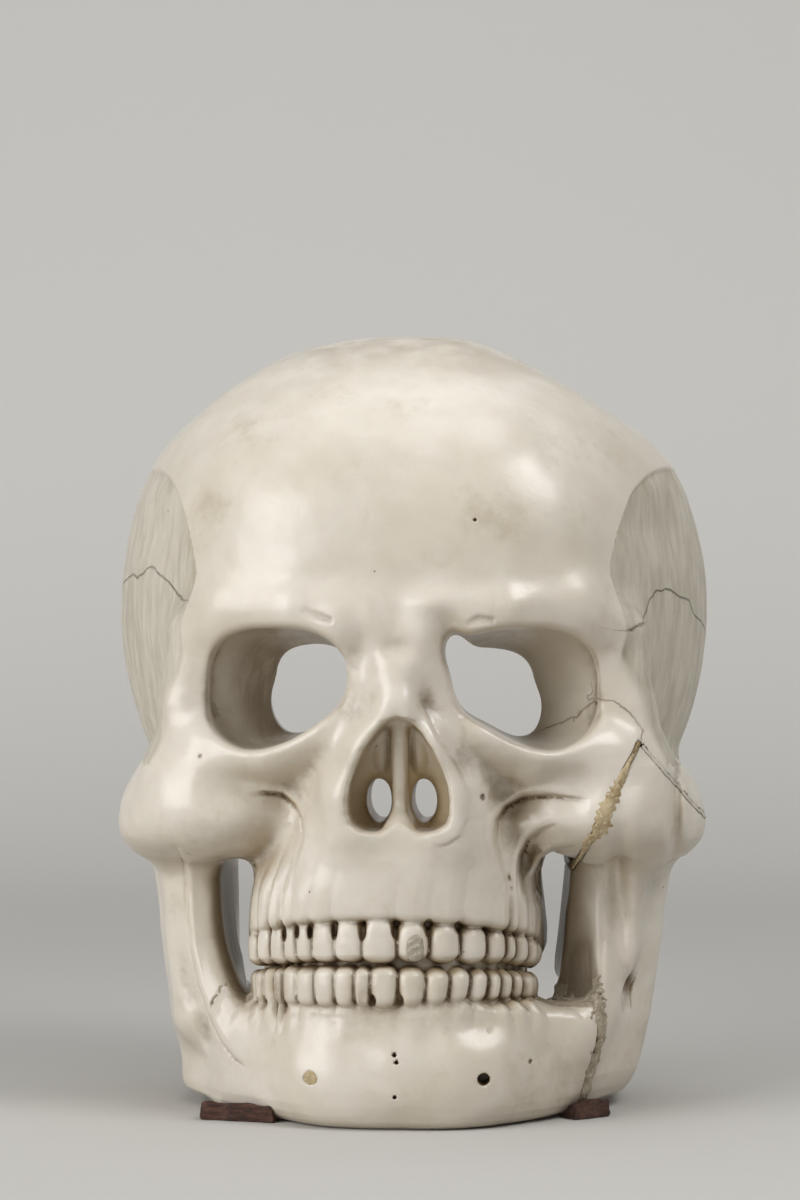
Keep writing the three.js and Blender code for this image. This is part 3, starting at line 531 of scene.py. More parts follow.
def hollow(p):
    x, f, z = p
    dome = egg(p, (0, 0, dome_centre[2]), (
        dome_radii[0] - dome_wall,
        dome_centre[1] + dome_radii[1] - forehead_wall,
        dome_radii[2] - dome_wall,
    ))
    face_back = -0.053 * skull_depth
    face = egg(p, (0, face_back, 0.4125 * skull_height), (
        half_width - face_wall,
        skull_depth - nose_wall - face_back,
        0.2 * skull_height,
    ))
    back = lower_jaw_back_share * skull_depth
    front = 0.911 * skull_depth
    jaw = bow_plan(x, f, 0.724 * half_width - jaw_wall, front - jaw_wall, back, 2.1)
    mouth_side = (0.449 - 0.026) * half_width + crown_thickness - mouth_wall
    mouth = bow_plan(x, f, mouth_side, front - mouth_wall, back, 2.1)
    throat = trim(mouth, z - 0.32 * skull_height, broad_blend)
    under = trim(jaw, z - gum_share * skull_height, firm_blend)
    return blend(blend(dome, face, broad_blend), blend(throat, under, firm_blend), soft_blend)


def orbit(p):
    x, f, z = p
    wide = np.abs(x)
    outwards = np.maximum(wide / half_width - 0.29, 0)
    rim, throat = (0.811 - 1.2 * outwards**2) * skull_depth, 0.56 * skull_depth
    share = np.clip((rim - f) / (rim - throat), 0, 1)
    narrow = share**1.9
    across = wide - (0.393 - 0.095 * share) * half_width
    lowered = np.where(x > 0, 0.0035, 0.0005) * share
    up = z - 0.5387 * skull_height + (0.5387 * skull_height - bore_level) * share + lowered
    half = (orbit_width + (bore_width - orbit_width) * narrow) / 2
    tall = (orbit_height + (bore_height - orbit_height) * narrow) / 2
    power = 2.8 - 0.8 * narrow
    near = ((np.abs(across) / half) ** power + (np.abs(up) / tall) ** power) ** (1 / power)
    turn = 2 * np.pi * 0.656
    corner = (wide - 0.173 * half_width) * np.cos(turn) + (z - 0.52 * skull_height) * np.sin(turn)
    opening = trim((near - 1) * np.minimum(half, tall), corner, 0.012)
    return trim(opening, 0.316 * skull_depth - f, crisp_blend)


def nose(p):
    x, f, z = p
    wide = np.abs(x)
    height = (z - nose_bottom) / nose_height
    widths, heights = zip(*nose_outline_shares)
    half = np.interp(height, heights, widths).astype(np.float32) * nose_width / 2
    spine = 0.006 * np.exp(-(wide / 0.0075) ** 2)
    ends = np.maximum(nose_bottom + spine - z, z - nose_bottom - nose_height)
    side = trim((wide - half) * 0.85, ends, 0.006)
    upward = np.clip(height, 0, 1)
    floor = 0.915 * skull_depth - nose_recess + 0.1 * skull_depth * upward**1.3
    recess = trim(side, floor - f, 0.012)
    nostril = egg((wide, f, z), (0.071 * half_width, 0.72 * skull_depth, 0.401 * skull_height),
                  (nostril_width / 2, 10.0, nostril_height / 2))
    bore = np.maximum(nostril, np.maximum(0.495 * skull_depth - f, f - 0.884 * skull_depth))
    blade_front = (0.862 + 0.05 * upward + 0.06 * np.exp(-((height - 0.06) / 0.11) ** 2)) * skull_depth
    thick = blade_width / 2 * (0.85 + 0.35 * upward + 0.9 * np.exp(-((height - 0.04) / 0.1) ** 2))
    blade = trim(wide - thick, f - blade_front, 0.004)
    hollow_part = trim(blend(recess, bore, 0.007), -blade, 0.0035)
    # A ledge of bone runs down each side wall and ends above the nostril.
    front = floor + 0.0002
    ledge_centre = (0.058 * half_width, 0, 0.4655 * skull_height)
    ledge = egg((wide, f - front, z), ledge_centre, (0.0042, 0.0038, 0.0115))
    return trim(hollow_part, -ledge, 0.003)


def gap(p):
    x, f, z = p
    right = x > 0
    right_edges = [by_height(z, right_gap_shares, column) for column in (1, 2)]
    left_edges = [by_height(z, left_gap_shares, column) for column in (1, 2)]
    inner, outer = [np.where(right, a, b) * half_width for a, b in zip(right_edges, left_edges)]
    behind = np.maximum(0.5 * skull_depth - f, 0)
    narrowing = np.minimum(gap_narrowing * behind, gap_narrowing_most)
    far_back = 1 - rise(0.53, 0.6, f / skull_depth)
    deep = np.minimum(outer, by_height(z, ramus_inner_shares, 1) * half_width)
    outer = np.where(right, outer + (deep - outer) * far_back, outer - 0.7 * narrowing)
    across = np.abs(np.abs(x) - (inner + outer) / 2) - (outer - inner) / 2
    low, high = left_gap_shares[0][0] * skull_height, left_gap_shares[-1][0] * skull_height
    tall = np.maximum(low - z, z - high)
    return trim(trim(across, tall, firm_blend), 0.105 * skull_depth - f, crisp_blend)


def behind(p):
    x, f, z = p
    back = by_height(z, ramus_edge_shares, 1) * skull_depth
    cut = trim(f - back, z - ramus_edge_shares[-1][0] * skull_height, crisp_blend)
    box = np.maximum(np.abs(x) - 0.59 * half_width, f - 0.316 * skull_depth)
    box = np.maximum(box, np.maximum(0.145 * skull_height - z, z - 0.315 * skull_height))
    pad = chin_pad_share * skull_depth
    under = z - underside_rise * np.clip((pad - f) / pad, 0, 1)
    return np.minimum(np.minimum(cut, box), under)


# Form of the carving: detail
# Folds under the cheekbones, drilled corners between the teeth, mental holes, slots in the
# brow and the step down the left ramus, cut with drills and small chisels and rubbed down.
# The two mental holes, to the right and up: the left one is closed by a plug of mortar.
plug_place = (-0.279, 0.064)
open_hole_place = (0.265, 0.064)
mental_width = 0.006
mental_depth = 0.014
mental_face = 0.916 * skull_depth
patch_width = 0.0075
patch_height = 0.012
patch_depth = 0.004
patch_x, patch_middle = on_arch(0.125)
patch_front = patch_middle + crown_thickness / 2
patch_z = bite_line + 0.38 * upper_crown
cheek_fold = [bead(*row) for row in (
    (0.564, 0.863, 0.415, 0.038),
    (0.397, 0.926, 0.415, 0.051),
    (0.333, 0.953, 0.375, 0.045),
    (0.385, 0.926, 0.32, 0.032),
)]
# Each fold is a step along a line of places to the right and up, with how deep it goes there
# and how far it runs out; the stone is lower on the left of the line, looking along it.
folds = (
    ((0.6, 0.404, 0), (0.54, 0.4065, 0.0018), (0.47, 0.409, 0.0032), (0.385, 0.406, 0.0042),
     (0.33, 0.394, 0.0046), (0.303, 0.378, 0.0046), (0.3, 0.354, 0.0044), (0.315, 0.33, 0.0034),
     (0.338, 0.3, 0.0016), (0.346, 0.28, 0), 0.016),
    ((0.5, 0.375, 0), (0.445, 0.366, 0.0018), (0.398, 0.352, 0.0032), (0.376, 0.332, 0.0036),
     (0.372, 0.312, 0.003), (0.38, 0.29, 0.0014), (0.388, 0.27, 0), 0.012),
    ((0.56, 0.347, 0), (0.488, 0.339, 0.0018), (0.443, 0.325, 0.003), (0.42, 0.304, 0.003),
     (0.42, 0.283, 0.0016), (0.425, 0.265, 0), 0.011),
    ((-0.345, 0.272, 0), (-0.337, 0.306, 0.0006), (-0.322, 0.338, 0.0014), (-0.306, 0.358, 0.0016),
     (-0.312, 0.379, 0.0014), (-0.34, 0.396, 0.0014), (-0.38, 0.409, 0.0018), (-0.443, 0.412, 0.001),
     (-0.5, 0.408, 0), 0.012),
    ((0.062, 0.531, 0), (0.1, 0.5, 0.0006), (0.149, 0.4625, 0.001), (0.2, 0.432, 0.0012),
     (0.222, 0.408, 0.0013), (0.219, 0.385, 0.0012), (0.192, 0.362, 0.0009), (0.15, 0.352, 0.0005),
     (0.096, 0.3505, 0), 0.009),
    ((-0.5, 0.066, 0), (-0.54, 0.074, 0.0012), (-0.58, 0.092, 0.0022), (-0.63, 0.123, 0.003),
     (-0.672, 0.162, 0.0034), (-0.7, 0.21, 0.0034), (-0.709, 0.255, 0.0032), (-0.713, 0.3, 0.0028),
     (-0.718, 0.345, 0), 0.015),
)
# Soft dips and swellings: place to the right and up, how deep, and how wide and tall each is.
soft_dips = (
    (0.158, 0.6, 0.0078, 0.0085, 0.0125), (-0.115, 0.592, 0.0042, 0.007, 0.011),
    (0.1, 0.648, -0.0028, 0.013, 0.0065), (-0.09, 0.638, -0.0022, 0.0075, 0.012),
    (0.0, 0.59, 0.0026, 0.008, 0.0055), (0.068, 0.53, 0.0016, 0.005, 0.016),
    (0.1, 0.112, 0.0018, 0.008, 0.009), (0.235, 0.127, 0.0026, 0.013, 0.009),
    (-0.13, 0.098, 0.0012, 0.012, 0.012), (0.0, 0.088, -0.0016, 0.01, 0.009),
    (0.0, 0.045, -0.001, 0.013, 0.009), (-0.42, 0.345, 0.0026, 0.011, 0.016),
    (-0.46, 0.42, 0.0022, 0.016, 0.006), (0.32, 0.668, 0.002, 0.022, 0.009),
    (-0.3, 0.672, 0.002, 0.024, 0.009), (0.695, 0.25, 0.0068, 0.0055, 0.042),
    (0.87, 0.39, 0.004, 0.0035, 0.026), (0.6, 0.335, 0.002, 0.014, 0.006),
    (0.205, 0.487, 0.0014, 0.009, 0.02),
)
left_slit = [bead(*row) for row in (
    (-0.445, 0.84, 0.4195, 0.006),
    (-0.4, 0.84, 0.4185, 0.007),
    (-0.365, 0.845, 0.4135, 0.006),
)]
brow_slots = (
    ((-0.295, 0.94, 0.6355, 0.007), (-0.255, 0.944, 0.6305, 0.009), (-0.215, 0.95, 0.6255, 0.006)),
    ((0.222, 0.948, 0.6205, 0.006), (0.254, 0.944, 0.6255, 0.012), (0.292, 0.936, 0.6245, 0.007)),
    ((-0.01, 0.965, 0.622, 0.012), (-0.008, 0.974, 0.608, 0.017), (-0.006, 0.975, 0.594, 0.01)),
)
drill_half_depth = 0.0045
drill_places = (
    (-0.203, 0.905, 0.2455, 0.0015, 0.0042), (-0.113, 0.918, 0.246, 0.002, 0.0046),
    (-0.0115, 0.922, 0.248, 0.002, 0.0046), (0.093, 0.91, 0.2495, 0.0021, 0.0048),
    (0.183, 0.885, 0.249, 0.0012, 0.003), (-0.283, 0.875, 0.2415, 0.0011, 0.0032),
    (-0.325, 0.862, 0.2405, 0.001, 0.003), (-0.369, 0.83, 0.2355, 0.0011, 0.0028),
    (-0.079, 0.915, 0.1625, 0.0019, 0.003), (0.003, 0.917, 0.161, 0.0019, 0.003),
)
small_pits = (
    (-0.641, 0.812, 0.4555, 0.0011), (0.263, 0.889, 0.4085, 0.0014), (0.238, 0.897, 0.748, 0.0008),
    (0.41, 0.821, 0.08, 0.001), (-0.0125, 0.936, 0.0945, 0.001), (-0.006, 0.938, 0.086, 0.001),
    (0.285, 0.877, 0.122, 0.0018), (-0.011, 0.937, 0.0435, 0.001),
)


def mental(p, place, wide, deep):
    x, f, z = p
    off = np.hypot(x - place[0] * half_width, z - place[1] * skull_height) - wide / 2
    return np.maximum(off, mental_face - deep - f)


def patch_hole(p, smaller):
    x, f, z = p
    across = np.abs(x - patch_x) / (patch_width / 2 - smaller)
    up = np.abs(z - patch_z) / (patch_height / 2 - smaller)
    off = ((across**2.4 + up**2.4) ** (1 / 2.4) - 1) * (patch_width / 2 - smaller)
    return np.maximum(off, patch_front - patch_depth + smaller - f)


def near_box(p, low, high):
    """Which points are near a part of the carving, as shares of its width, depth and height."""
    return np.all([(v > a) & (v < b) for v, a, b in zip(p, at(*low), at(*high))], axis=0)


def cut_near(p, body, low, high, cut, reach):
    """Cuts one small form away, worked out only in the box that it is in."""
    here = near_box(p, low, high)
    if here.any():
        q = tuple(value[here] for value in p)
        body[here] = trim(body[here], -cut(q), reach)
    return body


def fold_depth(q, rows):
    """How much lower the stone lies below a fold: a steep step, then a slope that runs out."""
    x, f, z = q
    reach = rows[-1]
    places = [(a * half_width, b * skull_height, depth) for a, b, depth in rows[:-1]]
    nearest = np.full(x.shape, 1.0, np.float32)
    signed = np.full(x.shape, 1.0, np.float32)
    deep = np.zeros(x.shape, np.float32)
    for (ax, az, start), (bx, bz, end) in zip(places[:-1], places[1:]):
        run = np.array([bx - ax, bz - az])
        long = np.hypot(*run)
        share = np.clip(((x - ax) * run[0] + (z - az) * run[1]) / long**2, 0, 1)
        off = np.hypot(x - ax - share * run[0], z - az - share * run[1])
        side = ((x - ax) * run[1] - (z - az) * run[0]) / long
        closer = off < nearest
        nearest = np.where(closer, off, nearest)
        signed = np.where(closer, np.sign(-side) * off, signed)
        deep = np.where(closer, start + (end - start) * share, deep)
    step = rise(-0.0012, 0.0012, signed) * (1 - rise(0.12 * reach, reach, signed))
    lip = 0.16 * np.exp(-((signed + 0.0028) / 0.0018) ** 2)
    crease = 0.0006 * rise(0, 0.0012, deep) * np.exp(-((signed - 0.0006) / 0.0009) ** 2)
    return deep * (step - lip) + crease


def fine_cuts(p, body):
    x, f, z = p
    front = (f > 0.5 * skull_depth) & (np.abs(body) < 0.012)
    for rows in folds:
        xs, zs = [row[0] for row in rows[:-1]], [row[1] for row in rows[:-1]]
        low = (min(xs) - 0.1, 0.5, min(zs) - 0.04)
        high = (max(xs) + 0.1, 1.1, max(zs) + 0.04)
        here = near_box(p, low, high) & front
        if here.any():
            body[here] += fold_depth(tuple(value[here] for value in p), rows)
    for right, up, deep, wide, tall in soft_dips:
        reach_x, reach_z = 2.5 * wide / half_width, 2.5 * tall / skull_height
        low = (right - reach_x, 0.5, up - reach_z)
        high = (right + reach_x, 1.1, up + reach_z)
        here = near_box(p, low, high) & front
        if here.any():
            across = (x[here] - right * half_width) / wide
            along = (z[here] - up * skull_height) / tall
            body[here] += deep * np.exp(-(across**2) - along**2)
    body = cut_near(p, body, (-0.7, 0.6, 0.25), (-0.2, 1.1, 0.5), lambda q: limb(q, left_slit), 0.002)
    for rows in brow_slots:
        beads = [bead(*row) for row in rows]
        body = cut_near(p, body, (-0.4, 0.8, 0.55), (0.4, 1.1, 0.68), lambda q: limb(q, beads), 0.0025)
    for right, forward, up, wide, tall in drill_places:
        centre, radii = at(right, forward, up), (wide, drill_half_depth, tall)
        body = cut_near(p, body, (-0.4, 0.7, 0.14), (0.4, 1.1, 0.28),
                        lambda q: egg(q, centre, radii), 0.001)
    for right, forward, up, radius in small_pits:
        centre, radii = at(right, forward, up), (radius, 2 * radius, radius)
        body = cut_near(p, body, (-0.7, 0.7, 0.03), (0.5, 1.1, 0.8),
                        lambda q: egg(q, centre, radii), 0.0008)
    for place in (plug_place, open_hole_place):
        body = cut_near(p, body, (-0.4, 0.7, 0.02), (0.4, 1.1, 0.11),
                        lambda q: mental(q, place, mental_width, mental_depth), 0.0008)
    return cut_near(p, body, (0, 0.7, 0.18), (0.2, 1.1, 0.28), lambda q: patch_hole(q, 0), 0.0006)


def marble(p):
    x, f, z = p
    q = (np.abs(x), f, z)
    body = trim(mass(p), -limb(q, cheek_fold), soft_blend)
    body = body - roots(p) - 0.0005 * waves(p, 0.045, 3) - 0.0002 * waves(p, 0.016, 5)
    body = blend(body, crowns(p), 0.0016)
    body = trim(body, -hollow(p), 0.006)
    body = trim(body, -orbit(p), 0.0045)
    body = trim(body, -nose(p), 0.005)
    body = trim(body, -gap(p), 0.007)
    body = trim(body, -behind(p), 0.003)
    body = fine_cuts(p, body)
    body = trim(body, np.maximum(z - cad_high.z, f - cad_high.y + cad_low.y), 0.002)
    return np.maximum(body, -f)


# Main block and broken-off piece
# The arch and ramus on the right broke off once. Both pieces are ivory marble, hand rubbed, with
# broken edges that are chipped where they meet, and brown dirt worn into every recess, which the material
# lays on together with painted shade.
split_height = 0.19 * skull_height
root_end = (1.0385 * half_width, 0.345 * skull_height)
root_corner = (0.7551 * half_width, 0.4725 * skull_height)
gap_end = (0.5385 * half_width, 0.30675 * skull_height)
jaw_seam_point = (0.595 * half_width, 0.658 * skull_depth)
cheek_seam = 0.0030
root_seam = 0.0016
jaw_seam = 0.0060


def beside_line(x, z, a, b):
    run = np.array([b[0] - a[0], b[1] - a[1]])
    run /= np.hypot(*run)
    return (x - a[0]) * run[1] - (z - a[1]) * run[0]


def seam_sides(p):
    """How far a point is from each seam: the root's, the cheek's and the jaw's."""
    x, f, z = p
    root = beside_line(x, z, root_end, root_corner)
    cheek = beside_line(x, z, root_corner, gap_end)
    # Below the cheekbone all of the ramus is on the broken-off side.
    beside = np.where(x > (by_height(z, ramus_inner_shares, 1) - 0.005) * half_width,
                      np.minimum(cheek, -0.004), np.maximum(cheek, 0.004))
    cheek = np.where(z < gap_end[1], beside, cheek)
    jaw = -((x - jaw_seam_point[0]) - (f - jaw_seam_point[1])) * 0.5**0.5
    return root, cheek, jaw


def broken(p):
    """The unevenness that two broken faces share, and the mortar between them."""
    return 0.0006 * waves(p, 0.009, 21)


def past_break(p, side):
    """How far a point is past the broken faces of the block, at -1, or the fragment, at 1.

    The second value is how worn the edge is there; at the root of the arch it is still sharp.
    """
    root, cheek, jaw = seam_sides(p)
    upper = np.maximum(root + side * root_seam / 2, cheek + side * cheek_seam / 2)
    lower = jaw + side * jaw_seam / 2
    above = p[2] > split_height
    off = np.where(above, upper, lower) + broken(p)
    return off, np.where(above & (root > cheek), 0.0003, 0.0012)


def block_field(p):
    x, f, z = p
    body = marble(p)
    here = (x > 0.03) & (z < 0.6 * skull_height)
    if here.any():
        off, edge = past_break(tuple(value[here] for value in p), -1)
        body[here] = trim(body[here], -off, edge)
    return body


def fragment_field(p):
    off, edge = past_break(p, 1)
    return trim(marble(p), off, edge)


def in_batches(field, points):
    """A field at many points, a batch at a time."""
    batch_size = 60000
    batches = np.array_split(points.astype(np.float32), max(1, len(points) // batch_size))
    columns = [tuple(np.ascontiguousarray(batch.T)) for batch in batches]
    with ThreadPoolExecutor(4) as pool:
        return np.concatenate(list(pool.map(field, columns)))


def finer(values):
    """The same grid with a value halfway between each two."""
    for axis in range(3):
        values = np.moveaxis(values, axis, 0)
        longer = np.empty((2 * len(values) - 1, *values.shape[1:]), np.float32)
        longer[::2] = values
        longer[1::2] = (values[:-1] + values[1:]) / 2
        values = np.moveaxis(longer, 0, axis)
    return values


def grid_of(field, low, high, cell):
    """The field on a grid, coarse at first and halved twice, exact only near its surface."""
    spacing = cell * 4
    counts = [int(math.ceil((b - a) / spacing)) + 1 for a, b in zip(low, high)]
    places = np.stack(np.meshgrid(*[np.arange(n) for n in counts], indexing="ij"), -1).reshape(-1, 3)
    values = in_batches(field, low + places * spacing).reshape(counts)
    for _ in range(2):
        values = finer(values)
        near = np.argwhere(np.abs(values) < 1.7 * spacing)
        spacing /= 2
        values[tuple(near.T)] = in_batches(field, low + near * spacing)
    return values


def surface_of(values, low, cell):
    """Points and four-sided faces of the zero surface, one point in each cell that it crosses."""
    inside = values < 0
    sizes = np.array(values.shape)
    strides = np.array([sizes[1] * sizes[2], sizes[2], 1])
    corners = np.array([(i, j, k) for i in (0, 1) for j in (0, 1) for k in (0, 1)])
    count = np.zeros(sizes - 1, np.int8)
    for i, j, k in corners:
        count += inside[i:sizes[0] - 1 + i, j:sizes[1] - 1 + j, k:sizes[2] - 1 + k]
    active = np.argwhere((count > 0) & (count < 8))
    flat = values.ravel()
    base = active @ strides
    total, number = np.zeros((len(active), 3)), np.zeros(len(active))
    for corner in corners:
        for axis in np.flatnonzero(corner == 0):
            here = flat[base + corner @ strides]
            there = flat[base + corner @ strides + strides[axis]]
            crossed = (here < 0) != (there < 0)
            part = np.where(crossed, here / np.where(crossed, here - there, 1), 0)
            total += crossed[:, None] * corner
            total[:, axis] += part
            number += crossed
    points = low + (active + total / number[:, None]) * cell
    index = np.full(sizes - 1, -1, np.int64)
    index[tuple(active.T)] = np.arange(len(active))
    faces = []
    for axis in range(3):
        one, two = (axis + 1) % 3, (axis + 2) % 3
        here, there = [slice(None)] * 3, [slice(None)] * 3
        here[axis], there[axis] = slice(0, -1), slice(1, None)
        for side in (one, two):
            here[side] = there[side] = slice(1, -1)
        edges = np.argwhere(inside[tuple(here)] != inside[tuple(there)])
        turned = inside[tuple(there)][tuple(edges.T)]
        edges[:, one] += 1
        edges[:, two] += 1
        ring = []
        for back_one, back_two in ((0, 0), (1, 0), (1, 1), (0, 1)):
            cellward = edges.copy()
            cellward[:, one] -= back_one
            cellward[:, two] -= back_two
            ring.append(index[tuple(cellward.T)])
        ring = np.stack(ring, 1)
        ring[turned] = ring[turned][:, ::-1]
        faces.append(ring)
    return points, np.concatenate(faces)


def slopes(field, points, step=0.0003):
    """The direction out of the stone at each point, and how steep the field is there."""
    parts = []
    for axis in range(3):
        shift = np.zeros(3)
        shift[axis] = step
        parts.append(in_batches(field, points + shift) - in_batches(field, points - shift))
    ways = np.stack(parts, 1) / (2 * step)
    length = np.linalg.norm(ways, axis=1, keepdims=True)
    return ways / np.maximum(length, 1e-6), np.maximum(length[:, 0], 0.3)


def carved(name, field, low, high, cell, limit):
    """An object of the carved surface, thinned to a number of triangles and drawn back to it."""
    grid = grid_of(field, np.array(low), np.array(high), cell)
    points, faces = surface_of(grid, np.array(low), cell)
    mesh = bpy.data.meshes.new(name)
    mesh.from_pydata(points.tolist(), [], faces.tolist())
    piece = bpy.data.objects.new(name, mesh)
    bpy.context.scene.collection.objects.link(piece)
    thin = piece.modifiers.new("thin", "DECIMATE")
    thin.ratio = min(1, limit / (2 * len(faces)))
    thinned = bpy.data.meshes.new_from_object(piece.evaluated_get(bpy.context.evaluated_depsgraph_get()))
    piece.modifiers.clear()
    piece.data = thinned
    thinned.name = name
    places = np.empty(len(thinned.vertices) * 3, np.float32)
    thinned.vertices.foreach_get("co", places)
    places = places.reshape(-1, 3).astype(np.float64)
    for _ in range(2):
        ways, steep = slopes(field, places)
        off = in_batches(field, places) / steep
        places -= ways * np.clip(off, -cell, cell)[:, None]
    return piece, places


def finish_carved(piece, places, ways, marks):
    """Moves the surface to its place, shades it smooth and keeps its marks for the material."""
    mesh = piece.data
    placed = places * (1, -1, 1) + (0, back_y, 0)
    mesh.vertices.foreach_set("co", placed.astype(np.float32).ravel())
    mesh.flip_normals()
    mesh.polygons.foreach_set("use_smooth", np.ones(len(mesh.polygons), bool))
    for name, values in marks.items():
        mark = mesh.attributes.new(name, "FLOAT", "POINT")
        mark.data.foreach_set("value", values.astype(np.float32))
    mesh.update()
    mesh.normals_split_custom_set_from_vertices((ways * (1, -1, 1)).tolist())


def recess(field, places, ways, reach):
    """How hollow the stone is around each point: 1 deep in a recess, 0 flat, less where proud."""
    reached = in_batches(field, places + ways * reach)
    return np.clip(1 - reached / reach, -0.5, 1)


def carved_in(paint, name, field, low, high, cell, limit, hollow_reach):
    """A small carved piece in one paint, which knows only its own fine hollows."""
    piece, places = carved(name, field, low, high, cell, limit)
    ways, _ = slopes(field, places)
    finish_carved(piece, places, ways, {"recess_fine": recess(field, places, ways, hollow_reach)})
    piece.data.materials.append(paint)
    return piece


# Hairlines in the stone, as points to the right, forward and up in metres: cut sutures on the temples,
# and cracks that grew from the break at the outer edge of the right eye socket.
sutures = (
    ((0.1132, 0.1391, 0.2451), (0.1185, 0.122, 0.2475), (0.123, 0.1085, 0.2536),
     (0.1243, 0.1063, 0.2596), (0.1275, 0.1012, 0.2646), (0.1352, 0.0885, 0.2656), (0.139, 0.082, 0.2618),
     (0.1445, 0.0713, 0.261), (0.1479, 0.0638, 0.2522), (0.1515, 0.053, 0.2495), (0.155, 0.0413, 0.2437)),
    ((-0.151, 0.047, 0.268), (-0.1462, 0.0662, 0.2731), (-0.14, 0.078, 0.2715), (-0.1331, 0.0902, 0.2781),
     (-0.1233, 0.1069, 0.2702), (-0.117, 0.119, 0.263), (-0.1106, 0.1277, 0.26)),
)
cracks = (
    ((0.0699, 0.1126, 0.1957), (0.0775, 0.118, 0.1978), (0.0861, 0.1238, 0.2022), (0.092, 0.131, 0.2085),
     (0.0975, 0.1388, 0.2112), (0.1064, 0.1405, 0.2092), (0.1115, 0.141, 0.2055), (0.1159, 0.1402, 0.2008),
     (0.1199, 0.1398, 0.1948), (0.1182, 0.1425, 0.1895)),
    ((0.074, 0.108, 0.187), (0.082, 0.117, 0.1935), (0.0885, 0.127, 0.2035), (0.091, 0.132, 0.214)),
)


def line_marks(lines, places, ways, reach):
    """The signed distance of each point across the nearest line, and how near it is to it."""
    nearest = np.full(len(places), 1.0)
    across = np.full(len(places), 1.0)
    for line in lines:
        for count, (a, b) in enumerate(zip(line[:-1], line[1:])):
            a, b = np.array(a), np.array(b)
            run = b - a
            share = np.clip((places - a) @ run / (run @ run), 0, 1)
            off = places - a - share[:, None] * run
            far = np.linalg.norm(off, axis=1)
            side = np.cross(run / np.linalg.norm(run), ways)
            signed = np.einsum("ij,ij->i", off, side)
            beyond = ((share == 0) & (count == 0)) | ((share == 1) & (count == len(line) - 2))
            signed = np.where(beyond, np.where(signed < 0, -far, far), signed)
            closer = far < nearest
            nearest = np.where(closer, far, nearest)
            across = np.where(closer, signed, across)
    return across, 1 - rise(reach, 2 * reach, nearest)


def marks_of(places, ways):
    """What the stone's material has to know at each point of its surface."""
    p = tuple(places.T.astype(np.float32))
    outer = np.abs(in_batches(mass, places))
    sutures_off, sutures_on = line_marks(sutures, places, ways, 0.011)
    cracks_off, cracks_on = line_marks(cracks, places, ways, 0.005)
    beside = rise(0.5, 0.6, np.abs(p[0]) / half_width) * (p[2] > 0.44 * skull_height) * (p[1] > 0.002)
    deep_in = rise(0.004, 0.02, -in_batches(mass, places))
    # Painted shade in the eye sockets; the next line leaves it off the right socket's outer wall, which
    # faces the key light.
    socket_painted_shade = deep_in * (1 - rise(0.001, 0.004, np.abs(in_batches(orbit, places))))
    socket_painted_shade = socket_painted_shade * (1 - 0.85 * rise(0.33, 0.45, p[0] / half_width))
    # Painted light on the walls of the nose.
    nose_painted_light = deep_in * (1 - rise(0.001, 0.004, np.abs(in_batches(nose, places))))
    # Brown dirt and painted shade on the walls beside the rami, towards the back.
    gap_dirt_and_shade = (1 - rise(0.002, 0.006, np.abs(in_batches(gap, places)))) * (p[1] < 0.7 * skull_depth)
    return {
        "recess_fine": recess(marble, places, ways, 0.0025),
        "recess_mid": recess(marble, places, ways, 0.008),
        "recess_wide": recess(marble, places, ways, 0.022),
        "temple_edge": np.where(outer < 0.004, in_batches(temple, places) + 4 * (1 - beside), 5),
        "hollow_near": np.clip(in_batches(hollow, places) / 0.01, -1, 1),
        "socket_painted_shade": socket_painted_shade,
        "nose_painted_light": nose_painted_light,
        "gap_dirt_and_shade": gap_dirt_and_shade,
        "suture_off": sutures_off,
        "suture_on": sutures_on,
        "crack_off": cracks_off,
        "crack_on": cracks_on,
    }


def make_marble():
    cell = 0.0011
    pieces = (
        ("carved_block", "skull_block", block_field,
         (-0.163, -0.008, -0.008), (0.163, 0.198, 0.408), 190000),
        ("carved_fragment", "arch_ramus_fragment", fragment_field,
         (0.03, -0.008, -0.008), (0.163, 0.16, 0.2), 60000),
    )
    made = []
    for name, node, field, low, high, limit in pieces:
        piece, places = carved(name, field, low, high, cell, limit)
        ways, _ = slopes(marble, places)
        finish_carved(piece, places, ways, marks_of(places, ways))
        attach(piece, "root")
        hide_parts(node)
        made.append(piece)
    return made


block, fragment = make_marble()


# Marble surface
# Fine ivory marble, rubbed smooth and waxed by hands over a long time, so it is glossy where it
# stands proud and brown with old dirt wherever it is hollow. That brown follows how enclosed each
# point is, so it is partly painted shade; faces that turn down and the eye sockets carry painted
# shade too, and the walls of the nose painted light. The temples are greyer and rougher,
# the back and the hollow are only tooled and sawn.
def colour(code):
    """An sRGB hex colour as the linear colour that a shader takes."""
    parts = [int(code[i:i + 2], 16) / 255 for i in (1, 3, 5)]
    return (*[part / 12.92 if part <= 0.04045 else ((part + 0.055) / 1.055) ** 2.4 for part in parts], 1)


def add(tree, kind, inputs=None, **settings):
    """Adds a node with its settings; each input is a value or the output that it is linked to."""
    node = tree.nodes.new("ShaderNode" + kind)
    for name, value in settings.items():
        setattr(node, name, value)
    for key, value in (inputs or {}).items():
        if isinstance(value, bpy.types.NodeSocket):
            tree.links.new(value, node.inputs[key])
        else:
            node.inputs[key].default_value = value
    return node


def mark(tree, name):
    """What the mesh keeps at its points under this name."""
    return add(tree, "Attribute", attribute_name=name).outputs["Fac"]


def math_of(tree, how, *values):
    return add(tree, "Math", dict(enumerate(values)), operation=how).outputs[0]


def ranged(tree, value, low, high, to_low=0.0, to_high=1.0):
    """A value between two limits, smoothly turned into one between two others."""
    inputs = {0: value, 1: low, 2: high, 3: to_low, 4: to_high}
    return add(tree, "MapRange", inputs, interpolation_type="SMOOTHSTEP").outputs[0]


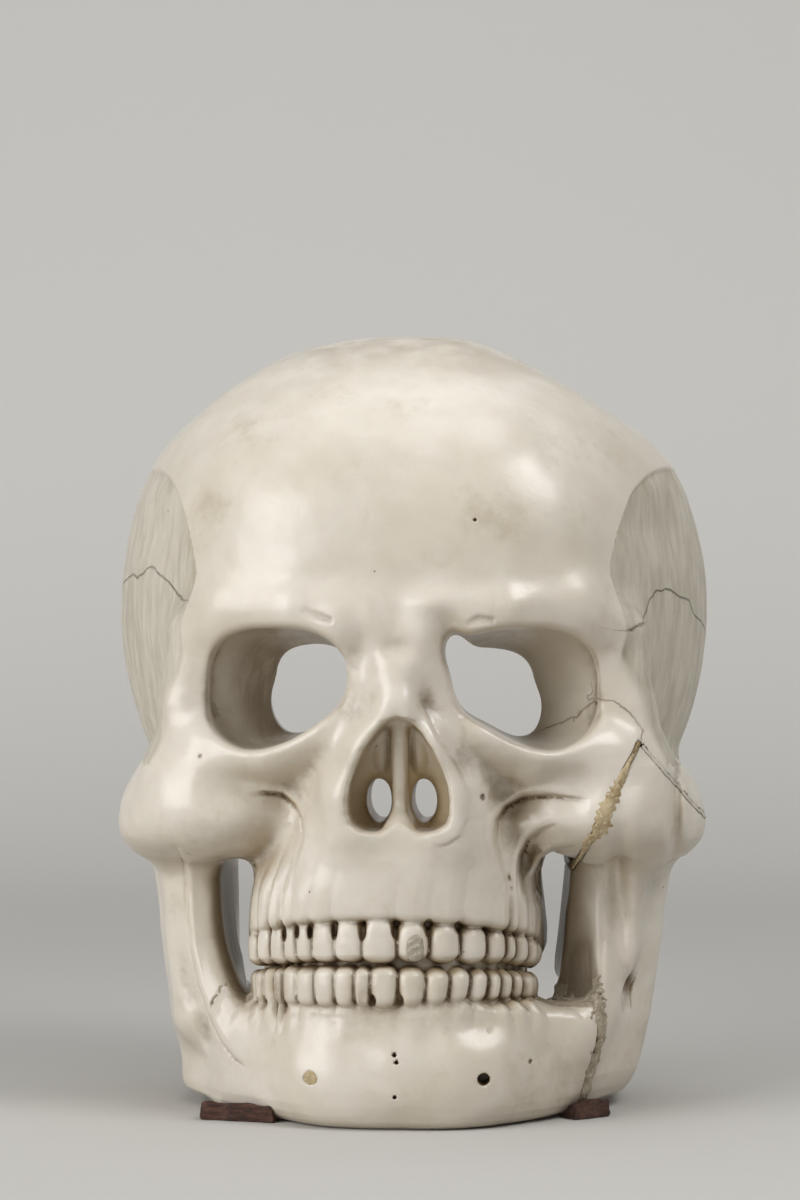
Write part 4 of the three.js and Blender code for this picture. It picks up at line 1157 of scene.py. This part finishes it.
def tinted(tree, share, below, above):
    inputs = {0: share, 6: below, 7: above}
    return add(tree, "Mix", inputs, data_type="RGBA").outputs[2]


def cloud(tree, place, size, detail=3.0, rough=0.55):
    """Noise of a size in metres, about a half on average."""
    inputs = {"Vector": place, "Scale": 1 / size, "Detail": detail, "Roughness": rough}
    return add(tree, "TexNoise", inputs).outputs[0]


def new_material(name):
    paint = bpy.data.materials.new(name)
    paint.use_nodes = True
    return paint, paint.node_tree, paint.node_tree.nodes["Principled BSDF"]


def raise_surface(tree, shader, height):
    """Relief finer than the mesh, its height in metres."""
    bump = add(tree, "Bump", {"Height": height, "Distance": 1.0, "Strength": 1.0})
    tree.links.new(bump.outputs[0], shader.inputs["Normal"])


def make_marble_material():
    """Waxed ivory marble: a deep soft gloss where hands reach, dull brown dirt where they don't, laid on
    partly as painted shade, with painted light on the walls of the nose.
    """
    paint, tree, shader = new_material("waxed_ivory_marble")
    place = add(tree, "TexCoord").outputs["Object"]
    height = add(tree, "SeparateXYZ", {0: place}).outputs
    facing = add(tree, "SeparateXYZ", {0: add(tree, "NewGeometry").outputs["Normal"]}).outputs
    fine, mid, wide = mark(tree, "recess_fine"), mark(tree, "recess_mid"), mark(tree, "recess_wide")

    # Ivory with soft warm and cool clouds some 9 cm across, and finer mottling of 2 cm.
    broad = ranged(tree, cloud(tree, place, 0.09), 0.35, 0.68)
    small = ranged(tree, cloud(tree, place, 0.021, 4), 0.3, 0.72)
    ivory = tinted(tree, broad, colour("#e6dfd3"), colour("#dcd3c3"))
    ivory = tinted(tree, math_of(tree, "MULTIPLY", small, 0.45), ivory, colour("#cfc5b4"))
    stains = ranged(tree, cloud(tree, place, 0.055, 7, 0.7), 0.54, 0.74, 0.0, 0.55)
    ivory = tinted(tree, stains, ivory, colour("#b8aa90"))

    # Dirt has settled on what faces up at the crown of the head. Every face that turns down, as under the
    # cheekbones, is darkened in the same brown as painted shade.
    crown_dirt = math_of(tree, "MULTIPLY", ranged(tree, facing[2], 0.6, 1.0),
                         ranged(tree, height[2], 0.36, 0.4, 0.1, 1))
    dusted = ranged(tree, cloud(tree, place, 0.03, 5), 0.35, 0.68, 0.0, 0.7)
    crown_dirt = math_of(tree, "MULTIPLY", crown_dirt, dusted)
    # Painted shade on faces that turn down.
    below = math_of(tree, "MULTIPLY", ranged(tree, facing[2], -0.1, -0.9), 0.5)
    soiled_and_shaded = tinted(tree, math_of(tree, "MAXIMUM", crown_dirt, below), ivory, colour("#a5967e"))

    # The temples are greyer, with tooling that runs up and down.
    streaked = add(tree, "Mapping", {0: place, 3: (1.0, 1.0, 0.16)}).outputs[0]
    streaks = ranged(tree, cloud(tree, streaked, 0.006, 5, 0.62), 0.3, 0.7)
    in_temple = ranged(tree, mark(tree, "temple_edge"), 1.01, 0.965)
    grey = tinted(tree, streaks, colour("#cfc9ba"), colour("#b3aa98"))
    temple_share = ranged(tree, cloud(tree, place, 0.05, 3), 0.25, 0.6, 0.6, 0.95)
    temple_share = math_of(tree, "MULTIPLY", in_temple, temple_share)
    stone = tinted(tree, temple_share, soiled_and_shaded, grey)

    # Patina and painted shade: tan in wide hollows, brown in narrow ones and nearly black brown at their
    # bottom. Each mask measures how enclosed a point is, so besides the real brown dirt in the crevices it
    # darkens where shade falls, the tan of the wide hollows most of all.
    uneven = math_of(tree, "MULTIPLY_ADD", cloud(tree, place, 0.012, 6, 0.62), 0.6, -0.3)
    wide_hollow_patina_and_shade = ranged(tree, math_of(tree, "ADD", wide, uneven), 0.22, 0.95, 0.0, 0.7)
    mid_hollow_patina_and_shade = ranged(tree, math_of(tree, "ADD", mid, uneven), 0.3, 1.0, 0.0, 0.75)
    in_fine = ranged(tree, math_of(tree, "ADD", fine, uneven), 0.35, 1.0, 0.0, 0.9)
    stone = tinted(tree, wide_hollow_patina_and_shade, stone, colour("#b3a184"))
    stone = tinted(tree, mid_hollow_patina_and_shade, stone, colour("#94805f"))
    stone = tinted(tree, in_fine, stone, colour("#5a452d"))

    # Painted shade inside the eye sockets, left off the outer wall of the right socket, which faces the
    # key light. Painted light on the walls of the nose: a pale tan that lightens them where the nose
    # shades them. Beside the rami, brown streaks of dirt on the inner walls, darkened further as painted
    # shade.
    streaky_share = ranged(tree, cloud(tree, streaked, 0.009, 6, 0.65), 0.25, 0.7, 0.35, 1.0)
    painted_light_shade_and_gap_dirt = (("socket_painted_shade", 0.75, "#85735a"), ("nose_painted_light", 0.95, "#dac69f"), ("gap_dirt_and_shade", 0.85, "#7b6b55"))
    for name, share, shade in painted_light_shade_and_gap_dirt:
        much = math_of(tree, "MULTIPLY", math_of(tree, "MULTIPLY", mark(tree, name), streaky_share), share)
        stone = tinted(tree, much, stone, colour(shade))

    # Hairlines: the cut sutures are darker and wider than the cracks.
    wander = math_of(tree, "MULTIPLY_ADD", cloud(tree, place, 0.006, 4, 0.6), 0.004, -0.002)
    across = math_of(tree, "ADD", mark(tree, "suture_off"), wander)
    suture = ranged(tree, math_of(tree, "ABSOLUTE", across), 0.0009, 0.0001)
    near_suture = mark(tree, "suture_on")
    suture = math_of(tree, "MULTIPLY", suture, ranged(tree, near_suture, 0.9, 1.0))
    crack_off = math_of(tree, "ABSOLUTE", math_of(tree, "ADD", mark(tree, "crack_off"), wander))
    crack = math_of(tree, "MULTIPLY", ranged(tree, crack_off, 0.0008, 0.0001), mark(tree, "crack_on"))
    broken = ranged(tree, cloud(tree, place, 0.014, 4), 0.35, 0.6, 0.2, 0.7)
    stone = tinted(tree, math_of(tree, "MULTIPLY", suture, broken), stone, colour("#7b705d"))
    stone = tinted(tree, math_of(tree, "MULTIPLY", crack, broken), stone, colour("#7d6542"))

    # A few black pits, a millimetre across, where softer grains fell out.
    pits = add(tree, "TexVoronoi", {"Vector": place, "Scale": 1 / 0.011}, feature="F1")
    chance = add(tree, "SeparateColor", {0: pits.outputs["Color"]}).outputs[0]
    chosen = math_of(tree, "GREATER_THAN", chance, 0.86)
    pit = math_of(tree, "MULTIPLY", ranged(tree, pits.outputs["Distance"], 0.055, 0.03), chosen)
    stone = tinted(tree, math_of(tree, "MULTIPLY", pit, 0.7), stone, colour("#5a4a35"))

    # The hollow and the sawn back are unpolished and dusty.
    inside = ranged(tree, mark(tree, "hollow_near"), 0.12, 0.0)
    back = ranged(tree, height[1], 0.0925, 0.094)
    rough_part = math_of(tree, "MAXIMUM", inside, back)
    dust = tinted(tree, small, colour("#b5aa98"), colour("#9c907c"))
    stone = tinted(tree, math_of(tree, "MULTIPLY", rough_part, 0.75), stone, dust)
    tree.links.new(stone, shader.inputs["Base Color"])

    # Gloss: waxed where it stands proud, dull in the dirt, the temples and the hollow.
    gloss = ranged(tree, cloud(tree, place, 0.035, 5), 0.3, 0.7, 0.3, 0.42)
    dull = math_of(tree, "MAXIMUM", math_of(tree, "MAXIMUM", mid_hollow_patina_and_shade, in_fine), mark(tree, "gap_dirt_and_shade"))
    dull = math_of(tree, "MAXIMUM", dull, math_of(tree, "MULTIPLY", in_temple, 0.7))
    dull = math_of(tree, "MAXIMUM", dull, rough_part)
    roughness = add(tree, "Mix", {0: dull, 2: gloss, 3: 0.72}, data_type="FLOAT").outputs[0]
    tree.links.new(roughness, shader.inputs["Roughness"])

    # Relief finer than the mesh: rubbing marks, tooling, pits and the hairlines.
    rubbed = math_of(tree, "MULTIPLY", cloud(tree, place, 0.005, 4, 0.6), 0.00022)
    grain = math_of(tree, "MULTIPLY", cloud(tree, place, 0.0011, 3, 0.6), 0.00005)
    tooling = math_of(tree, "MULTIPLY", math_of(tree, "MULTIPLY", streaks, in_temple), 0.00022)
    chisel = add(tree, "TexVoronoi", {"Vector": place, "Scale": 1 / 0.009}, feature="F1")
    picked = math_of(tree, "MULTIPLY", chisel.outputs["Distance"], rough_part)
    picked = math_of(tree, "MULTIPLY", picked, 0.0011)
    plate = math_of(tree, "MULTIPLY", ranged(tree, across, -0.0007, 0.0007), near_suture)
    sunk = math_of(tree, "MULTIPLY_ADD", suture, -0.0007, math_of(tree, "MULTIPLY", crack, -0.0005))
    sunk = math_of(tree, "MULTIPLY_ADD", plate, 0.0012, sunk)
    sunk = math_of(tree, "ADD", sunk, math_of(tree, "MULTIPLY", pit, -0.0004))
    tooled = math_of(tree, "ADD", tooling, picked)
    relief = math_of(tree, "ADD", math_of(tree, "ADD", rubbed, grain), tooled)
    relief = math_of(tree, "ADD", relief, sunk)
    raise_surface(tree, shader, relief)

    shader.inputs["IOR"].default_value = 1.49
    shader.inputs["Subsurface Weight"].default_value = 0.12
    shader.inputs["Subsurface Radius"].default_value = (1.0, 0.8, 0.55)
    shader.inputs["Subsurface Scale"].default_value = 0.004
    shader.inputs["Coat Weight"].default_value = 0.4
    shader.inputs["Coat Roughness"].default_value = 0.2
    return paint


marble_paint = make_marble_material()
for piece in (block, fragment):
    piece.data.materials.append(marble_paint)


# Mortar
# Lime mortar fills the break across the cheek, at the root of the arch and through the jaw, a
# plug closes the mental hole on the left, and a paler fill mends one incisor. It is pressed in
# with a spatula, so it stands a little proud in places and is broken away in others.
def plate_field(side, half, region, smear, sunken):
    """The mortar in one seam, with half its thickness, where it ends and how wide it smears."""
    def field(p):
        coarse, gritty = waves(p, 0.014, 31 + side), waves(p, 0.004, 41 + side)
        skin = marble(p)
        off = seam_sides(p)
        sunk = skin + sunken * (0.0002 + 0.001 * np.maximum(-coarse, 0) + 0.0004 * gritty)
        body = np.maximum(sunk, np.abs(off[side] + broken(p)) - half)
        # A smear of mortar lies over the edges of the stone, thin and broken at its borders.
        wide = smear(p) * (0.55 + 0.5 * coarse + 0.3 * gritty)
        proud = 0.0007 * (1 - np.clip(np.abs(off[side]) / np.maximum(wide, 0.0005), 0, 1) ** 2)
        over = np.maximum(skin - proud - 0.00025 * gritty, -skin - 0.0015)
        body = blend(body, np.maximum(over, np.abs(off[side]) - wide), 0.0004)
        return np.maximum(np.maximum(body, region(off, p)), -p[1])
    return field


def make_lime_mortar(name, light, dark, grains):
    """Lime and sand: a dull, gritty surface with dirt in its pores and paler rubbed ridges."""
    paint, tree, shader = new_material(name)
    place = add(tree, "TexCoord").outputs["Object"]
    patches = ranged(tree, cloud(tree, place, 0.008, 6, 0.65), 0.3, 0.7)
    body = tinted(tree, patches, colour(light), colour(dark))
    sand = add(tree, "TexVoronoi", {"Vector": place, "Scale": 1 / 0.0014}, feature="F1")
    picked = add(tree, "SeparateColor", {0: sand.outputs["Color"]}).outputs[0]
    body = tinted(tree, ranged(tree, picked, 0.7, 0.95, 0.0, 0.5), body, colour(grains))
    dirt = ranged(tree, mark(tree, "recess_fine"), 0.25, 0.9, 0.0, 0.85)
    body = tinted(tree, dirt, body, colour("#4a3b28"))
    tree.links.new(body, shader.inputs["Base Color"])
    lumps = math_of(tree, "MULTIPLY", cloud(tree, place, 0.0028, 5, 0.65), 0.0009)
    lumps = math_of(tree, "MULTIPLY_ADD", sand.outputs["Distance"], -0.00025, lumps)
    raise_surface(tree, shader, lumps)
    shader.inputs["Roughness"].default_value = 0.85
    return paint


def make_mortar():
    cell = 0.0008
    cream = make_lime_mortar("cream_lime_mortar", "#cdbb98", "#a08a66", "#e0d4b8")
    tan = make_lime_mortar("tan_lime_mortar", "#bdb29e", "#918570", "#d0c7b5")
    pale = make_lime_mortar("pale_lime_mortar", "#dad2c4", "#cdc4b3", "#dfd8cb")
    pieces = (
        ("cheek_mortar", 1, cheek_seam / 2 - 0.0003, 1.0, (0.07, -0.004, 0.11), (0.13, 0.175, 0.2),
         lambda off, p: np.maximum(off[0] - root_seam / 2 + 0.0003, split_height - p[2]),
         lambda p: 0.0012 + 0.005 * rise(0.132, 0.145, p[2]) * (1 - rise(0.163, 0.181, p[2])),
         "cheek_seam_mortar", 24000, cream),
        ("root_mortar", 0, root_seam / 2, 0.0, (0.11, -0.004, 0.13), (0.158, 0.15, 0.2),
         lambda off, p: off[1] + cheek_seam / 2 + 0.0004, lambda p: 0.0,
         "arch_root_mortar", 16000, pale),
        ("jaw_mortar", 2, jaw_seam / 2 - 0.0003, 1.0, (0.03, 0.04, -0.004), (0.11, 0.15, 0.08),
         lambda off, p: p[2] - split_height, lambda p: 0.0075,
         "jaw_seam_mortar", 24000, tan),
    )
    for name, side, half, sunken, low, high, region, smear, node, limit, paint in pieces:
        field = plate_field(side, half, region, smear, sunken)
        piece = carved_in(paint, name, field, low, high, cell, limit, 0.0012)
        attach(piece, "root")
        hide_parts(node)


def plug(p):
    body = mental(p, plug_place, mental_width + 0.0012, mental_depth - 0.0003)
    return trim(body, mass(p) - 0.0001 + 0.0003 * waves(p, 0.004, 51), 0.0006)


def fill(p):
    """The fill closes a chip at the lower right corner of the tooth, and its face is rough."""
    body = patch_hole(p, -0.0004)
    return trim(body, crowns(p) - 0.00035 + 0.0004 * waves(p, 0.003, 61), 0.0005)


def make_fills():
    plug_x, plug_z = plug_place[0] * half_width, plug_place[1] * skull_height
    yellow = make_lime_mortar("yellowed_plug_mortar", "#c3b08b", "#a8926c", "#d6c8a8")
    grey = make_lime_mortar("grey_filling_mortar", "#bfb7a7", "#a99f8d", "#cdc6b8")
    pieces = (
        ("mental_plug", "mental_hole_plug", plug, yellow,
         (plug_x - 0.006, 0.155, plug_z - 0.006), (plug_x + 0.006, 0.18, plug_z + 0.006)),
        ("incisor_fill", "incisor_patch", fill, grey,
         (patch_x - 0.006, patch_front - 0.008, patch_z - 0.009),
         (patch_x + 0.006, patch_front + 0.006, patch_z + 0.009)),
    )
    for name, node, field, paint, low, high in pieces:
        piece = carved_in(paint, name, field, low, high, 0.0005, 6000, 0.001)
        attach(piece, "root")
        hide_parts(node)


make_mortar()
make_fills()


# Wooden wedges
# Two thin wedges of old reddish-brown wood, split and not planed, steady the jaw on its
# stand: thick at the outside and worn thin under the stone.
wedge_width = 0.038


def wood_mass(p, place, degrees, long):
    """A split wedge at a place, turned by so many degrees and so long."""
    turn = math.radians(degrees)
    x, f, z = p
    cx, cf = place[0] * half_width, place[1] * skull_depth
    along = (x - cx) * math.cos(turn) - (f - cf) * math.sin(turn)
    across = (x - cx) * math.sin(turn) + (f - cf) * math.cos(turn)
    grain = (np.zeros_like(along), across, z)
    rough = 0.0006 * waves(grain, 0.004, 71) + 0.0009 * waves((along, across, z), 0.013, 72)
    share = across / wedge_width + 0.5
    top = z - (0.002 + 0.007 * share)
    sides = np.maximum(np.abs(along) - long / 2, np.abs(across) - wedge_width / 2)
    body = np.maximum(trim(sides, top, 0.0015) + rough, -z)
    return np.maximum(body, 0.0004 - mass(p))


def make_wedge_wood():
    """Split softwood stained dark red brown: dull, with grain lines a millimetre apart."""
    paint, tree, shader = new_material("split_stained_wood")
    place = add(tree, "TexCoord").outputs["Object"]
    stretched = add(tree, "Mapping", {0: place, 3: (0.12, 1.0, 1.0)}).outputs[0]
    grain = ranged(tree, cloud(tree, stretched, 0.0016, 5, 0.6), 0.3, 0.7)
    wood = tinted(tree, grain, colour("#5f3d31"), colour("#32211b"))
    worn = ranged(tree, cloud(tree, place, 0.012, 4), 0.45, 0.7, 0.0, 0.6)
    wood = tinted(tree, worn, wood, colour("#6f5345"))
    tree.links.new(wood, shader.inputs["Base Color"])
    height = math_of(tree, "MULTIPLY", grain, 0.0007)
    raise_surface(tree, shader, height)
    shader.inputs["Roughness"].default_value = 0.78
    return paint


def make_wedges():
    wood = make_wedge_wood()
    for name, node, place, degrees, long in (
        ("wedge_left", "support_wedge_left", (-0.5, 0.679), -14, 0.038),
        ("wedge_right", "support_wedge_right", (0.535, 0.597), 38, 0.022),
    ):
        x, f, _ = at(*place, 0)
        low, high = (x - 0.032, f - 0.032, -0.003), (x + 0.032, f + 0.032, 0.012)
        piece = carved_in(wood, name, lambda p: wood_mass(p, place, degrees, long),
                          low, high, 0.0006, 14000, 0.001)
        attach(piece, "root")
        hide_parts(node)


make_wedges()


# Hidden pins
# Four drawn iron pins, 8 mm thick, are set in drilled holes across the breaks and hold the
# broken-off piece. They are inside the stone, dark and a little rusty.
def make_pin_iron():
    """Drawn iron with a skin of rust: dark, half dull, with fine lines along it."""
    paint, tree, shader = new_material("rusty_drawn_iron")
    place = add(tree, "TexCoord").outputs["Object"]
    rust = ranged(tree, cloud(tree, place, 0.004, 6, 0.65), 0.4, 0.65)
    metal = tinted(tree, rust, colour("#6b6763"), colour("#5a3622"))
    tree.links.new(metal, shader.inputs["Base Color"])
    tree.links.new(math_of(tree, "SUBTRACT", 1.0, rust), shader.inputs["Metallic"])
    tree.links.new(ranged(tree, rust, 0.0, 1.0, 0.38, 0.8), shader.inputs["Roughness"])
    height = math_of(tree, "MULTIPLY", cloud(tree, place, 0.0012, 4), 0.00015)
    raise_surface(tree, shader, height)
    return paint


pin_iron = make_pin_iron()
for name in ("cheek_pin", "arch_root_pin", "jaw_pin_upper", "jaw_pin_lower"):
    for place_of_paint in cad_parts[name].material_slots:
        place_of_paint.material = pin_iron


# Floor and light
# A plain pale studio sweep, one large soft light high on the left, a weaker one on the right
# and a broad one above, as in a product photograph.
def seen_itself(tree):
    """1 where the camera sees a surface, plainly or in a gloss, and 0 where it only gives light."""
    rays = add(tree, "LightPath").outputs
    return math_of(tree, "MAXIMUM", rays["Is Camera Ray"], rays["Is Glossy Ray"])


def make_stage():
    """One sheet of pale paper: flat under the skull, then curved up behind it."""
    profile = [(-6.0, 0.0), (1.2, 0.0)]
    for step in range(1, 25):
        turn = math.pi / 2 * step / 24
        profile.append((1.2 + 1.6 * math.sin(turn), 1.6 - 1.6 * math.cos(turn)))
    profile.append((2.8, 6.0))
    points = [(side, y, z) for y, z in profile for side in (-6, 6)]
    faces = [(2 * i, 2 * i + 1, 2 * i + 3, 2 * i + 2) for i in range(len(profile) - 1)]
    sheet = bpy.data.meshes.new("studio_paper")
    sheet.from_pydata(points, [], faces)
    sheet.polygons.foreach_set("use_smooth", [True] * len(faces))
    ground = bpy.data.objects.new("studio_paper", sheet)
    bpy.context.scene.collection.objects.link(ground)
    # Matt paper, which gives the eye no gloss to look at beside the stone.
    paint, tree, shader = new_material("pale_paper")
    shader.inputs["Base Color"].default_value = colour("#cfcdc9")
    shader.inputs["Roughness"].default_value = 0.9
    # The far part looks as bright as a lit backdrop, without any of that light on the stone.
    away = add(tree, "VectorMath", {0: add(tree, "TexCoord").outputs["Object"]}, operation="LENGTH")
    glow = ranged(tree, away.outputs["Value"], 0.5, 2.6, 0.0, 0.34)
    glow = math_of(tree, "MULTIPLY", seen_itself(tree), glow)
    shader.inputs["Emission Color"].default_value = colour("#e8e6e2")
    tree.links.new(glow, shader.inputs["Emission Strength"])
    sheet.materials.append(paint)


def make_light(name, place, aim, size, power):
    lamp = bpy.data.lights.new(name, "AREA")
    lamp.shape = "RECTANGLE"
    lamp.size, lamp.size_y = size
    lamp.energy = power
    light = bpy.data.objects.new(name, lamp)
    light.location = place
    way = Vector(aim) - Vector(place)
    light.rotation_euler = way.to_track_quat("-Z", "Y").to_euler()
    bpy.context.scene.collection.objects.link(light)


make_stage()
make_light("key", (-1.8, -1.45, 0.95), (0, 0, 0.2), (1.6, 1.8), 40)
make_light("window", (1.0, -0.66, 1.45), (0, 0, 0.25), (0.65, 0.75), 12)
make_light("above", (0, 0.1, 1.9), (0, 0, 0.2), (1.2, 1.2), 8)
world = bpy.data.worlds.new("pale_room")
world.use_nodes = True
world.node_tree.nodes["Background"].inputs["Color"].default_value = colour("#e8e6e2")
# The room is dim as a light, and as pale as the paper where it is seen.
room = world.node_tree
strength = ranged(room, seen_itself(room), 0.0, 1.0, 0.18, 0.62)
room.links.new(strength, room.nodes["Background"].inputs["Strength"])
bpy.context.scene.world = world
bpy.context.scene.view_settings.view_transform = "Standard"
